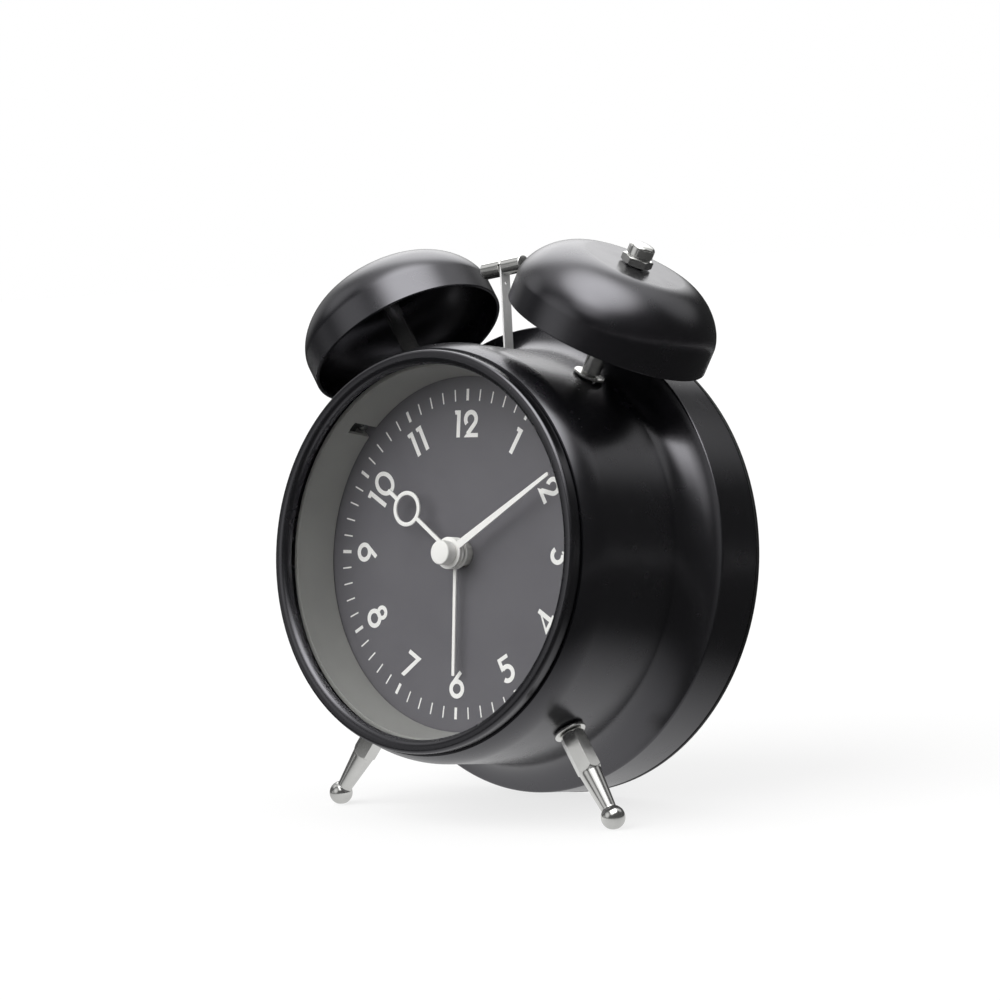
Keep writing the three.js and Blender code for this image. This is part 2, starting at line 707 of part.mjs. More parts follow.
const headEnd = HAMMER.length / 2;
const groove = 0.25;
const headOutline = [
  [0, -headEnd],
  [HAMMER.radius - HAMMER.edge, -headEnd],
  [HAMMER.radius, -headEnd + HAMMER.edge],
  [HAMMER.radius, -groove],
  [HAMMER.radius - groove, -groove],
  [HAMMER.radius - groove, groove],
  [HAMMER.radius, groove],
  [HAMMER.radius, headEnd - HAMMER.edge],
  [HAMMER.radius - HAMMER.edge, headEnd],
  [0, headEnd],
];
const slotHalf = STRIP.thick / 2 + SEAT;
const stripHalf = STRIP.width / 2;
const stripTop = HAMMER.reach + 0.4;
add("hammer_head", cut(
  revolveX(headOutline, 16).translate(0, 0, HAMMER.reach),
  block(-slotHalf, slotHalf, -HAMMER.radius - 1, HAMMER.radius + 1, HAMMER.reach - 3, stripTop + SEAT),
), chrome, hammer);

add("hammer_arm", cut(
  block(-STRIP.thick / 2, STRIP.thick / 2, -stripHalf, stripHalf, STRIP.root, stripTop),
  revolveX(rod(STRIP.hole, -1, 1), 10).translate(0, 0, STRIP.holeAt),
), steel, hammer);

add("hammer_lever", cut(
  join(
    boreY(LEVER.boss, -LEVER.half, LEVER.half),
    block(-LEVER.cheek, LEVER.cheek, -LEVER.half, LEVER.half, 0, LEVER.top),
    block(-LEVER.tailHalf, LEVER.tailHalf, -LEVER.half, LEVER.half, -LEVER.tail, 0),
  ),
  boreY(PIVOT.pin + RUN, -LEVER.half - 1, LEVER.half + 1),
  block(-slotHalf, slotHalf, -LEVER.half - 1, LEVER.half + 1, STRIP.root - SEAT, LEVER.top + 1),
), blackPlastic, hammer);

const armatureRight = -LEVER.tailHalf - SEAT;
add("hammer_armature", block(
  armatureRight - ARMATURE.thick, armatureRight, -ARMATURE.half, ARMATURE.half, ARMATURE.low, ARMATURE.high,
), steel, hammer);

const earInner = LEVER.half + 1.3;
const earOuter = earInner + BRACKET.ear;
const pinEnd = earOuter + 0.4;
add("hammer_pivot_pin", boreY(
  PIVOT.pin, PIVOT.y - pinEnd, PIVOT.y + pinEnd, PIVOT.x, PIVOT.z, 12,
), steel);

// One folded bracket: a base on top of the movement, two ears for the pin and a yoke for the coil
const baseLow = MOVEMENT.half + SEAT;
const baseHigh = baseLow + BRACKET.base;
const yokeRight = COIL.left - SEAT;
const yokeLeft = yokeRight - BRACKET.yoke;
const earLine = [
  [PIVOT.x - 6, baseLow],
  [PIVOT.x + 5, baseLow],
  ...arc(PIVOT.x, PIVOT.z, BRACKET.earHalf, 0, 180, 6),
];
const baseFront = PIVOT.y - earOuter;
const baseBack = PIVOT.y + earOuter;
add("hammer_bracket", cut(
  join(
    block(yokeLeft, PIVOT.x + 5, baseFront, baseBack, baseLow, baseHigh),
    block(yokeLeft, yokeRight, baseFront, baseBack, baseLow, COIL.z + 4.5),
    plate(earLine, baseFront, PIVOT.y - earInner),
    plate(earLine, PIVOT.y + earInner, baseBack),
  ),
  boreY(PIVOT.pin + SEAT, baseFront - 1, baseBack + 1, PIVOT.x, PIVOT.z),
  revolveX(rod(COIL.core + SEAT, yokeLeft - 1, yokeRight + 1)).translate(0, PIVOT.y, COIL.z),
), steel);

const coilFlange = 1.0;
add("hammer_coil", revolveX([
  [COIL.core + SEAT, COIL.left],
  [COIL.flange, COIL.left],
  [COIL.flange, COIL.left + coilFlange],
  [COIL.winding, COIL.left + coilFlange],
  [COIL.winding, COIL.right - coilFlange],
  [COIL.flange, COIL.right - coilFlange],
  [COIL.flange, COIL.right],
  [COIL.core + SEAT, COIL.right],
]).translate(0, PIVOT.y, COIL.z), copper);
add("coil_core", revolveX(rod(COIL.core, yokeLeft - 0.6, COIL.right + 0.8))
  .translate(0, PIVOT.y, COIL.z), steel);

// ---------------------------------------------------------------- rear cover

const cellY = COVER_BACK - DOOR.thick - RUN - CELL.radius;
const lowerZ = CELL.upper - CELL.pitch;
const room = CELL.radius + BOX.room;
const inside = {
  x: CELL.length / 2 + BOX.end,
  front: cellY - room,
  low: lowerZ - room,
  high: CELL.upper + room,
};
const hinge = { y: COVER_BACK - DOOR.thick / 2, z: inside.low + RUN + DOOR.thick / 2 };
const pinReach = inside.x - RUN + DOOR.pinReach;
const switchGap = SWITCH.half + RUN;
const switchHalf = SWITCH.grip + SWITCH.travel / 2 + RUN;
const boardBack = BOARD.front + BOARD.thick;
const pillars = [[-11.5, 19.0], [11.5, 38.5]];

const coverOutline = [
  [0, COVER_FRONT],
  [COVER_BODY - SPIGOT.wall, COVER_FRONT],
  [COVER_BODY - SPIGOT.wall, COVER_FRONT - SPIGOT.depth],
  [COVER_BODY, COVER_FRONT - SPIGOT.depth],
  [COVER_BODY, COVER_BACK - COVER_EDGE.thick],
  [COVER_RADIUS, COVER_BACK - COVER_EDGE.thick],
  [COVER_RADIUS, COVER_BACK],
  [0, COVER_BACK],
];
const coverHole = [COVER_FRONT - 1, COVER_BACK + 1];
const boxOuter = inside.x + BOX.wall;
const boxFront = inside.front - BOX.wall;
add(
  "rear_cover",
  cut(
    join(
      revolve(coverOutline, LARGE),
      block(-boxOuter, boxOuter, boxFront, COVER_FRONT + 1, inside.low - BOX.wall, inside.high + BOX.wall),
      ...pillars.map(([x, z]) => boreY(1.8, boardBack + SEAT, COVER_FRONT + 1, x, z)),
    ),
    block(-inside.x, inside.x, inside.front, COVER_BACK + 1, inside.low, inside.high),
    revolveX(rod(DOOR.pin + SEAT, -pinReach - RUN, pinReach + RUN), 10).translate(0, hinge.y, hinge.z),
    boreY(KNOB.hub + RUN, ...coverHole, minuteX),
    boreY(KNOB.hub + RUN, ...coverHole, alarmX),
    boreY(BUTTON.radius + RUN, ...coverHole, 0, BUTTON.z),
    block(-switchHalf, switchHalf, ...coverHole, SWITCH.z - switchGap, SWITCH.z + switchGap),
    ...screwHoles,
  ),
  blackPlastic,
);

// The door's lower edge is a round about the hinge, with a pin at each end
const doorX = inside.x - RUN;
const doorTop = inside.high - RUN;
add(
  "battery_door",
  join(
    block(-doorX, doorX, COVER_BACK - DOOR.thick, COVER_BACK, hinge.z, doorTop),
    revolveX(rod(DOOR.thick / 2, -doorX, doorX)).translate(0, hinge.y, hinge.z),
    revolveX(rod(DOOR.pin, -pinReach, pinReach), 10).translate(0, hinge.y, hinge.z),
  ),
  blackPlastic,
);

// A cell lies along X with its nub on the given side
const cellHalf = CELL.length / 2;
function cell(side, z) {
  const outline = [
    [0, -cellHalf],
    [CELL.radius, -cellHalf],
    [CELL.radius, cellHalf - CELL.nubRise],
    [CELL.nub, cellHalf - CELL.nubRise],
    [CELL.nub, cellHalf],
    [0, cellHalf],
  ].map(([r, x]) => [r, side * x]);
  return revolveX(outline, 16).translate(0, cellY, z);
}
add("battery_upper", cell(1, CELL.upper), cellSleeve);
add("battery_lower", cell(-1, lowerZ), cellSleeve);

// A contact plate at one end of the box; a nub meets a dimple and a flat end meets a spring
const contactThick = 0.4;
const contactHalf = 5.0;
const contactY = [cellY - contactHalf, cellY + contactHalf];
const plateOuter = inside.x - SEAT;
const plateInner = plateOuter - contactThick;
const reach = plateInner - cellHalf - SEAT;

function contactPlate(side, low, high) {
  const xs = [side * plateOuter, side * plateInner].sort((a, b) => a - b);
  return block(xs[0], xs[1], ...contactY, low, high);
}

function dimple(side, z) {
  const outline = [[0, 0], [3, 0], [1.8, reach], [0, reach]].map(([r, x]) => {
    return [r, side * (plateInner + 0.1 - x)];
  });
  return revolveX(outline).translate(0, cellY, z);
}

// A conical spring that narrows towards the cell
class Coil extends THREE.Curve {
  constructor(side, z) {
    super();
    this.side = side;
    this.z = z;
  }

  getPoint(t, target = new THREE.Vector3()) {
    const a = 2 * Math.PI * 2.25 * t;
    const r = 3.8 - 1.6 * t;
    const x = this.side * (plateInner - (reach - 0.3) * t);
    return target.set(x, cellY + r * Math.cos(a), this.z + r * Math.sin(a));
  }
}

function spring(side, z) {
  const wire = shapeOf(arc(0, 0, 0.3, 0, 270, 3));
  return new THREE.ExtrudeGeometry(wire, { steps: 15, extrudePath: new Coil(side, z) });
}

const pairHalf = 5.5;
add("battery_contact_plus", join(
  contactPlate(1, CELL.upper - pairHalf, CELL.upper + pairHalf),
  dimple(1, CELL.upper),
), steel);
add("battery_contact_minus", join(
  contactPlate(1, lowerZ - pairHalf, lowerZ + pairHalf),
  spring(1, lowerZ),
), steel);
add("battery_link_contact", join(
  contactPlate(-1, lowerZ - pairHalf, CELL.upper + pairHalf),
  dimple(-1, lowerZ),
  spring(-1, CELL.upper),
), steel);

// Knobs on the two setting shafts, each with a flange that keeps it in its hole
function flutedOutline(radius, flutes, depth) {
  return Array.from({ length: flutes }, (_, i) => {
    const centre = (360 * i) / flutes;
    const land = 100 / flutes;
    const low = arc(0, 0, radius - depth, centre - 2 * land + 0.5 * land, centre - land - 0.2 * land, 1);
    return [...low, ...arc(0, 0, radius, centre - 0.9 * land, centre + 0.9 * land, 1)];
  }).flat();
}

const knobFrom = COVER_BACK + RUN;
const knobTo = knobFrom + KNOB.thick;
const knob = cut(
  join(
    plate(flutedOutline(KNOB.radius, KNOB.flutes, KNOB.cut), knobFrom, knobTo),
    boreY(KNOB.hub, COVER_FRONT - 1, knobFrom + 1),
  ),
  boreY(SETTING_SHAFT + SEAT, COVER_FRONT - 2, shaftEnd + 0.3),
);
add("time_set_knob", knob.clone().translate(minuteX, 0, 0), blackPlastic);
add("alarm_set_knob", knob.clone().translate(alarmX, 0, 0), blackPlastic);

// Alarm switch: a grip in a slot, kept in by a foot behind the cover
const footBack = COVER_FRONT - RUN;
const footFront = footBack - 0.9;
const prong = { half: 0.8, depth: 1.6 };
const gripAt = -SWITCH.travel / 2;
const footReach = switchHalf + SWITCH.travel / 2 + 1;
add("alarm_switch", join(
  block(-SWITCH.grip, SWITCH.grip, footFront + 0.2, COVER_BACK + SWITCH.rise, -SWITCH.half, SWITCH.half),
  block(-footReach, footReach, footFront, footBack, -SWITCH.half - 1.4, SWITCH.half + 1.4),
  block(-prong.half, prong.half, footFront - prong.depth, footFront + 0.2, -prong.half, prong.half),
).translate(gripAt, 0, SWITCH.z), greyPlastic);

const switchTop = footFront - RUN;
const prongRoom = SWITCH.travel / 2 + prong.half + RUN;
add("alarm_switch_body", cut(
  block(-5, 5, boardBack + SEAT, switchTop, SWITCH.z - 3.2, SWITCH.z + 3.2),
  block(
    -prongRoom, prongRoom, switchTop - prong.depth - RUN, switchTop + 1,
    SWITCH.z - prong.half - RUN, SWITCH.z + prong.half + RUN,
  ),
), steel);

// Light button above it, with a flange behind the cover and a small switch to press
const buttonTop = COVER_BACK + BUTTON.rise;
add("light_button", revolve([
  [0, footFront],
  [BUTTON.flange, footFront],
  [BUTTON.flange, footBack],
  [BUTTON.radius, footBack],
  [BUTTON.radius, buttonTop - 0.5],
  [BUTTON.radius - 0.5, buttonTop],
  [0, buttonTop],
]).translate(0, 0, BUTTON.z), greyPlastic);

const plungerTop = footFront - BUTTON.travel - RUN;
add("light_switch", join(
  block(-3, 3, boardBack + SEAT, plungerTop - 0.7, BUTTON.z - 3, BUTTON.z + 3),
  boreY(1.6, plungerTop - 1, plungerTop, 0, BUTTON.z),
), steel);

add("control_board", block(
  -BOARD.half, BOARD.half, BOARD.front, boardBack, BOARD.low, BOARD.high,
), greenBoard);

// Screws through the cover into the lugs of the case, each with a cross recess
const screwSeat = COVER_BACK + SEAT;
const screwTop = screwSeat + COVER_SCREWS.rise;
const recess = { half: 0.35, reach: 1.6, depth: 0.9 };
COVER_SCREWS.angles.forEach((angle, i) => {
  const frame = pointing(angle);
  const turned = revolve([
    [0, LUG.back - LUG.thick - 1],
    [COVER_SCREWS.shank, LUG.back - LUG.thick - 1],
    [COVER_SCREWS.shank, screwSeat],
    [COVER_SCREWS.head, screwSeat],
    [COVER_SCREWS.head, screwTop - 0.8],
    [COVER_SCREWS.head - 0.8, screwTop],
    [0, screwTop],
  ]);
  const across = [recess.reach, recess.half].map((x, k) => {
    const z = [recess.half, recess.reach][k];
    return block(-x, x, screwTop - recess.depth, screwTop + 1, -z, z);
  });
  add("rear_screw_" + (i + 1), cut(turned, ...across).translate(0, 0, screwCircle), steel, frame);
});

// ---------------------------------------------------------------- stance

// The clock rests on both balls and on the lowest edge of the rear cover.
const run = COVER_BACK - FOOT.y;
const rise = (BARREL.radius + FOOT.reach) * Math.cos(rad(FOOT.angle)) - COVER_RADIUS;
const tilt = Math.atan2(rise, run) + Math.asin(FOOT.ball / Math.hypot(rise, run));
clock.rotation.x = -tilt;

const part = new THREE.Group();
part.name = "twin_bell_alarm_clock";
part.add(clock);
part.updateMatrixWorld(true);
const extent = new THREE.Box3().setFromObject(part, true);
const middle = extent.getCenter(new THREE.Vector3());
clock.position.set(-middle.x, -middle.y, -extent.min.z);

export default part;
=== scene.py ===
"""A battery twin-bell alarm clock, as it looks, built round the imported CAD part.

Lengths are millimetres in the dial frame, as in the part's source: the origin is the dial's centre,
X runs right, Y back and Z towards twelve. mesh_object leans that frame back and scales it to metres.
"""

import json
import math

import bmesh
import bpy
import numpy as np
from mathutils import Matrix, Vector
from mathutils.geometry import delaunay_2d_cdt

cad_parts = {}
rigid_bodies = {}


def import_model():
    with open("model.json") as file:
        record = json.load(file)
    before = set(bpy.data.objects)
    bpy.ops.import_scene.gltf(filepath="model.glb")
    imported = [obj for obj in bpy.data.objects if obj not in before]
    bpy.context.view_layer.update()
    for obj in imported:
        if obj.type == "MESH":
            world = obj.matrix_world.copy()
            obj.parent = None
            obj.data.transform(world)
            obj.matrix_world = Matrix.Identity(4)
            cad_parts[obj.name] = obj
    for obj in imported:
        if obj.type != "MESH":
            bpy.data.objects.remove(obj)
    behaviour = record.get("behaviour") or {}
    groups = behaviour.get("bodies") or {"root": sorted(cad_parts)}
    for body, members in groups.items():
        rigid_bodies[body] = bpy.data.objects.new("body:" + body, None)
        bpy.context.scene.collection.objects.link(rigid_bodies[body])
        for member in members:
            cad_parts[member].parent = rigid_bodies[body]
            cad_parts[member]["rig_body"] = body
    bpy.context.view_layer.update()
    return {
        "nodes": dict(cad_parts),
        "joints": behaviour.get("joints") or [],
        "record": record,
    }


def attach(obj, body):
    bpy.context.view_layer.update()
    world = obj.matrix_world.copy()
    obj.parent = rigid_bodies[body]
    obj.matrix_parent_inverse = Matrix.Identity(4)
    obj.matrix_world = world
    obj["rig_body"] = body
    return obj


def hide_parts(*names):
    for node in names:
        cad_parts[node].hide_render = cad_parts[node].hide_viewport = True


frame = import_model()

# ---------------------------------------------------------------- where things are

JOINT_BEHIND_DIAL = 0.010  # metres from the dial's face to the point given for minute_turn
turn = next(j for j in frame["joints"] if j["name"] == "minute_turn")
axis = Vector(turn["axis"])
LEAN = math.atan2(-axis.z, axis.y)
CENTRE = Vector(turn["pos_m"]) - axis * JOINT_BEHIND_DIAL
DIAL = Matrix.Translation(CENTRE) @ Matrix.Rotation(-LEAN, 4, "X")
SCALE = 0.001
ORIGIN = Matrix.Identity(4)

SEAT = 0.25  # gap between two pieces that are fixed to each other
RUN = 0.3  # gap round a piece that moves
SHEET = 1.0  # thickness of the case and the bezel
BARREL = 52.5  # radius of the case's middle
ROUND, FINE_ROUND = 160, 192  # flats round a large turned piece


def turned_y(angle):
    """A frame turned clockwise from twelve about Y, as the hands are."""
    return Matrix.Rotation(math.radians(angle), 4, "Y")


def standing(angle, y, skew=0.0, lean=0.0):
    """A frame on the barrel with its Z along the axis of what stands there.

    The axis is square to the barrel, turned on by skew about Y and then leant to the front.
    """
    a = math.radians(angle)
    at = (BARREL * math.sin(a), y, BARREL * math.cos(a))
    spin = turned_y(angle + skew) @ Matrix.Rotation(math.radians(lean), 4, "X")
    return Matrix.Translation(at) @ spin


# ---------------------------------------------------------------- outlines

NEARLY_STRAIGHT = 83  # half the angle at a corner, in degrees, above which it is left alone
EDGE_SHARE = 0.48  # the most that one rounding may take of an edge


def arc(x, y, r, a0, a1, n):
    """Points on a circle about (x, y), from one angle to another in degrees."""
    angles = np.radians(np.linspace(a0, a1, n + 1))
    return [(x + r * math.cos(a), y + r * math.sin(a)) for a in angles]


def soften(outline, radius, steps=4):
    """A closed outline with each corner rounded. A third number in a point is its own radius."""
    made = []
    count = len(outline)
    for i, point in enumerate(outline):
        p = np.array(point[:2], float)
        r = point[2] if len(point) > 2 else radius
        a = np.array(outline[i - 1][:2], float) - p
        b = np.array(outline[(i + 1) % count][:2], float) - p
        la, lb = np.linalg.norm(a), np.linalg.norm(b)
        if la < 1e-9 or lb < 1e-9:
            made.append(tuple(p))
            continue
        a, b = a / la, b / lb
        half = math.acos(max(-1, min(1, float(a @ b)))) / 2
        if r <= 0 or half > math.radians(NEARLY_STRAIGHT) or p[0] < 1e-9:
            made.append(tuple(p))
            continue
        t = min(r / math.tan(half), EDGE_SHARE * la, EDGE_SHARE * lb)
        reach = t * math.tan(half)
        centre = p + (a + b) / np.linalg.norm(a + b) * (reach / math.sin(half))
        start, end = p + a * t - centre, p + b * t - centre
        s0, s1 = math.atan2(start[1], start[0]), math.atan2(end[1], end[0])
        sweep = (s1 - s0 + math.pi) % (2 * math.pi) - math.pi
        for k in range(steps + 1):
            s = s0 + sweep * k / steps
            made.append((centre[0] + reach * math.cos(s), centre[1] + reach * math.sin(s)))
    return made


# ---------------------------------------------------------------- meshes


def mesh_object(name, verts, faces, local=ORIGIN):
    """A mesh whose points are baked where they belong, with its faces outwards."""
    mesh = bpy.data.meshes.new(name)
    place = DIAL @ Matrix.Diagonal((SCALE, SCALE, SCALE, 1)) @ local
    mesh.from_pydata([place @ Vector(v) for v in verts], [], [list(f) for f in faces])
    work = bmesh.new()
    work.from_mesh(mesh)
    bmesh.ops.remove_doubles(work, verts=work.verts, dist=1e-7)
    bmesh.ops.recalc_face_normals(work, faces=work.faces)
    if work.calc_volume(signed=True) < 0:
        bmesh.ops.reverse_faces(work, faces=work.faces)
    work.to_mesh(mesh)
    work.free()
    made = bpy.data.objects.new(name, mesh)
    bpy.context.scene.collection.objects.link(made)
    return made


def revolve(name, outline, along="Y", local=ORIGIN, segments=ROUND):
    """A closed outline of (radius, distance) turned about an axis."""
    angles = [2 * math.pi * i / segments for i in range(segments)]
    verts, rings = [], []
    for r, d in outline:
        if r < 1e-6:
            rings.append([len(verts)])
            verts.append((0.0, d, 0.0))
            continue
        rings.append(list(range(len(verts), len(verts) + segments)))
        verts.extend((r, d, a) for a in angles)
    points = []
    for r, d, a in verts:
        s, c = r * math.sin(a), r * math.cos(a)
        points.append({"Y": (s, d, c), "Z": (s, -c, d), "X": (d, s, c)}[along])
    faces = []
    for i, ring in enumerate(rings):
        after = rings[(i + 1) % len(rings)]
        if len(ring) == 1 and len(after) == 1:
            continue
        for k in range(segments):
            m = (k + 1) % segments
            if len(ring) == 1:
                faces.append((ring[0], after[k], after[m]))
            elif len(after) == 1:
                faces.append((ring[k], after[0], ring[m]))
            else:
                faces.append((ring[k], after[k], after[m], ring[m]))
    return mesh_object(name, points, faces, local)


def block(name, x0, x1, y0, y1, z0, z1, local=ORIGIN):
    """A box between two values on each axis."""
    verts = [(x, y, z) for x in (x0, x1) for y in (y0, y1) for z in (z0, z1)]
    faces = [(0, 1, 3, 2), (4, 6, 7, 5), (0, 4, 5, 1), (2, 3, 7, 6), (0, 2, 6, 4), (1, 5, 7, 3)]
    return mesh_object(name, verts, faces, local)


def prism(name, outline, z0, z1, local=ORIGIN):
    """An outline in X and Y with thickness along Z."""
    n = len(outline)
    verts = [(x, y, z) for z in (z0, z1) for x, y in outline]
    faces = [tuple(range(n)), tuple(range(n, 2 * n))]
    faces += [(i, (i + 1) % n, n + (i + 1) % n, n + i) for i in range(n)]
    return mesh_object(name, verts, faces, local)


def peg(r, z0, z1, local, segments=32):
    """A plain cylinder along the Z of a frame, to cut with."""
    return revolve("tool", [(0, z0), (r, z0), (r, z1), (0, z1)], "Z", local, segments)


def bore(r, y0, y1, x=0.0, z=0.0, angle=0.0, segments=32):
    """A plain cylinder along Y, to cut with or to add."""
    local = turned_y(angle) @ Matrix.Translation((x, 0, z))
    return revolve("tool", [(0, y0), (r, y0), (r, y1), (0, y1)], "Y", local, segments)


def flat_piece(name, shapes, front, back, local=ORIGIN):
    """Overlapping shapes drawn in X and Z, merged into one sheet with thickness along Y."""
    coords, faces = [], []
    for shape in shapes:
        area = sum(a[0] * b[1] - b[0] * a[1] for a, b in zip(shape, [*shape[1:], shape[0]]))
        faces.append(list(range(len(coords), len(coords) + len(shape))))
        coords.extend(Vector(p) for p in (shape if area > 0 else reversed(shape)))
    points, _, triangles, _, _, owners = delaunay_2d_cdt(coords, [], faces, 0, 1e-4)
    kept = [t for t, o in zip(triangles, owners) if o]
    n = len(points)
    verts = [(p.x, front, p.y) for p in points] + [(p.x, back, p.y) for p in points]
    solid = [tuple(t) for t in kept] + [tuple(n + i for i in reversed(t)) for t in kept]
    edges = {}
    for t in kept:
        for a, b in zip(t, [*t[1:], t[0]]):
            edges[(a, b)] = edges.get((a, b), 0) + 1
    solid += [(b, a, n + a, n + b) for (a, b) in edges if (b, a) not in edges]
    return mesh_object(name, verts, solid, local)


def baked(obj):
    """The object with its modifiers made part of its mesh."""
    depsgraph = bpy.context.evaluated_depsgraph_get()
    mesh = bpy.data.meshes.new_from_object(obj.evaluated_get(depsgraph))
    old = obj.data
    obj.modifiers.clear()
    obj.data = mesh
    bpy.data.meshes.remove(old)
    return obj


def combined(obj, operation, others):
    """Joins others to the object, or cuts them out of it."""
    for other in others:
        step = obj.modifiers.new("step", "BOOLEAN")
        step.operation = operation
        step.solver = "EXACT"
        step.object = other
    baked(obj)
    for other in others:
        bpy.data.objects.remove(other)
    return obj


def cut(obj, *tools):
    return combined(obj, "DIFFERENCE", tools)


def join(obj, *others):
    return combined(obj, "UNION", others)


def shaded(obj, bevel=0.0, steps=2, sharp=35, limit=30):
    """Rounds hard edges by a bevel in millimetres if one is given, and shades the mesh smooth.

    limit is the least angle in degrees that the bevel rounds, and sharp the least that stays an edge.
    """
    if bevel:
        edge = obj.modifiers.new("edge", "BEVEL")
        edge.width = bevel * SCALE
        edge.segments = steps
        edge.limit_method = "ANGLE"
        edge.angle_limit = math.radians(limit)
        edge.use_clamp_overlap = True
        baked(obj)
    obj.data.shade_smooth()
    obj.data.set_sharp_from_angle(angle=math.radians(sharp))
    weigh = obj.modifiers.new("weigh", "WEIGHTED_NORMAL")
    weigh.keep_sharp = True
    weigh.weight = 50
    return baked(obj)


# ---------------------------------------------------------------- finishes


def emptied(owner):
    """The node tree of a material or world, cleared."""
    owner.use_nodes = True
    owner.node_tree.nodes.clear()
    return owner.node_tree


def add_node(tree, kind, inputs=(), **settings):
    """A node of a kind, its inputs linked to sockets or set to values."""
    made = tree.nodes.new("ShaderNode" + kind)
    for key, value in settings.items():
        setattr(made, key, value)
    for key, value in dict(inputs).items():
        if isinstance(value, bpy.types.NodeSocket):
            tree.links.new(value, made.inputs[key])
        else:
            made.inputs[key].default_value = value
    return made


class Finish:
    """A material with one Principled shader and the nodes that vary it over the piece."""

    def __init__(self, name):
        self.material = bpy.data.materials.new(name)
        self.tree = emptied(self.material)
        self.shader = add_node(self.tree, "BsdfPrincipled")
        self.out = add_node(self.tree, "OutputMaterial", {0: self.shader.outputs[0]})
        self.place = add_node(self.tree, "TexCoord").outputs["Object"]

    def set(self, **values):
        """Sets the shader's own sockets. An underscore in a name stands for a space."""
        for key, value in values.items():
            self.shader.inputs[key.replace("_", " ")].default_value = value
        return self

    def drive(self, socket, node):
        """Links a node's first output to one of the shader's sockets."""
        self.tree.links.new(node.outputs[0], self.shader.inputs[socket])
        return self

    def noise(self, scale, detail=3.0, stretch=(1, 1, 1)):
        """A noise over the piece. A scale of 1000 has grains of about a millimetre."""
        mapping = add_node(self.tree, "Mapping", {"Vector": self.place, "Scale": stretch})
        return add_node(self.tree, "TexNoise", {
            "Vector": mapping.outputs[0], "Scale": scale, "Detail": detail,
        }).outputs["Fac"]

    def colour(self, fac, dark, light):
        """A base colour that drifts between two with the noise."""
        ramp = add_node(self.tree, "ValToRGB", {0: fac})
        for stop, position, colour in zip(ramp.color_ramp.elements, (0.35, 0.65), (dark, light)):
            stop.position = position
            stop.color = (*colour, 1)
        return self.drive("Base Color", ramp)

    def rough(self, fac, low, high):
        """A roughness that drifts between two with the noise."""
        return self.drive("Roughness", add_node(self.tree, "MapRange", {
            "Value": fac, "From Min": 0.3, "From Max": 0.7, "To Min": low, "To Max": high,
        }))

    def bump(self, fac, strength, distance):
        """A fine grain, whose height is given in metres."""
        return self.drive("Normal", add_node(self.tree, "Bump", {
            "Height": fac, "Strength": strength, "Distance": distance,
        }))


def satin_black():
    """The paint of case, bezel and bells: a nearly black ground under a satin gloss."""
    f = Finish("satin black paint").set(IOR=2.0, Specular_Tint=(0.95, 0.94, 1.0, 1))
    f.colour(f.noise(35), (0.0030, 0.0030, 0.0040), (0.0042, 0.0042, 0.0054))
    f.rough(f.noise(160), 0.24, 0.28)
    return f.bump(f.noise(2600, 2), 0.05, 0.00004)


def metal(name, dark, light, low, high, scale=300, stretch=(1, 1, 1), metallic=1.0):
    """Bare or plated metal, between two colours and two roughnesses."""
    f = Finish(name).set(Metallic=metallic)
    f.colour(f.noise(scale, 3, stretch), dark, light)
    return f.rough(f.noise(scale * 2, 4, stretch), low, high)


def plastic(name, dark, light, low, high):
    """Plastic or matt paint, between two colours and two roughnesses, with a fine grain."""
    f = Finish(name)
    f.colour(f.noise(60), dark, light)
    f.rough(f.noise(220), low, high)
    return f.bump(f.noise(1500, 2), 0.08, 0.00003)


def board_green():
    f = Finish("green circuit board").set(Roughness=0.4)
    return f.colour(f.noise(420, 1, (1, 1, 4)), (0.008, 0.05, 0.018), (0.02, 0.11, 0.035))


def clear_plastic():
    f = Finish("clear plastic").set(Transmission_Weight=1.0, IOR=1.49)
    f.colour(f.noise(80), (0.93, 0.95, 0.95), (0.97, 0.98, 0.98))
    return f.rough(f.noise(400), 0.02, 0.06)


def glass():
    """Clear flat glass: light goes straight through, and its two faces reflect a little.

    The share that a face reflects rises from face_on to 1 with the fifth power of its slant.
    """
    face_on = 0.03
    f = Finish("clear glass")
    f.tree.nodes.remove(f.shader)
    through = add_node(f.tree, "BsdfTransparent", {"Color": (0.99, 0.992, 0.99, 1)})
    spread = add_node(f.tree, "MapRange", {"Value": f.noise(120), "To Min": 0.015, "To Max": 0.03})
    gloss = add_node(f.tree, "BsdfGlossy", {"Roughness": spread.outputs[0]})
    slant = add_node(f.tree, "LayerWeight").outputs["Facing"]
    steep = add_node(f.tree, "Math", {0: slant, 1: 5.0}, operation="POWER").outputs[0]
    share = add_node(f.tree, "Math", {0: steep, 1: 1 - face_on, 2: face_on}, operation="MULTIPLY_ADD")
    mix = add_node(f.tree, "MixShader", {0: share.outputs[0], 1: through.outputs[0], 2: gloss.outputs[0]})
    f.tree.links.new(mix.outputs[0], f.out.inputs[0])
    return f


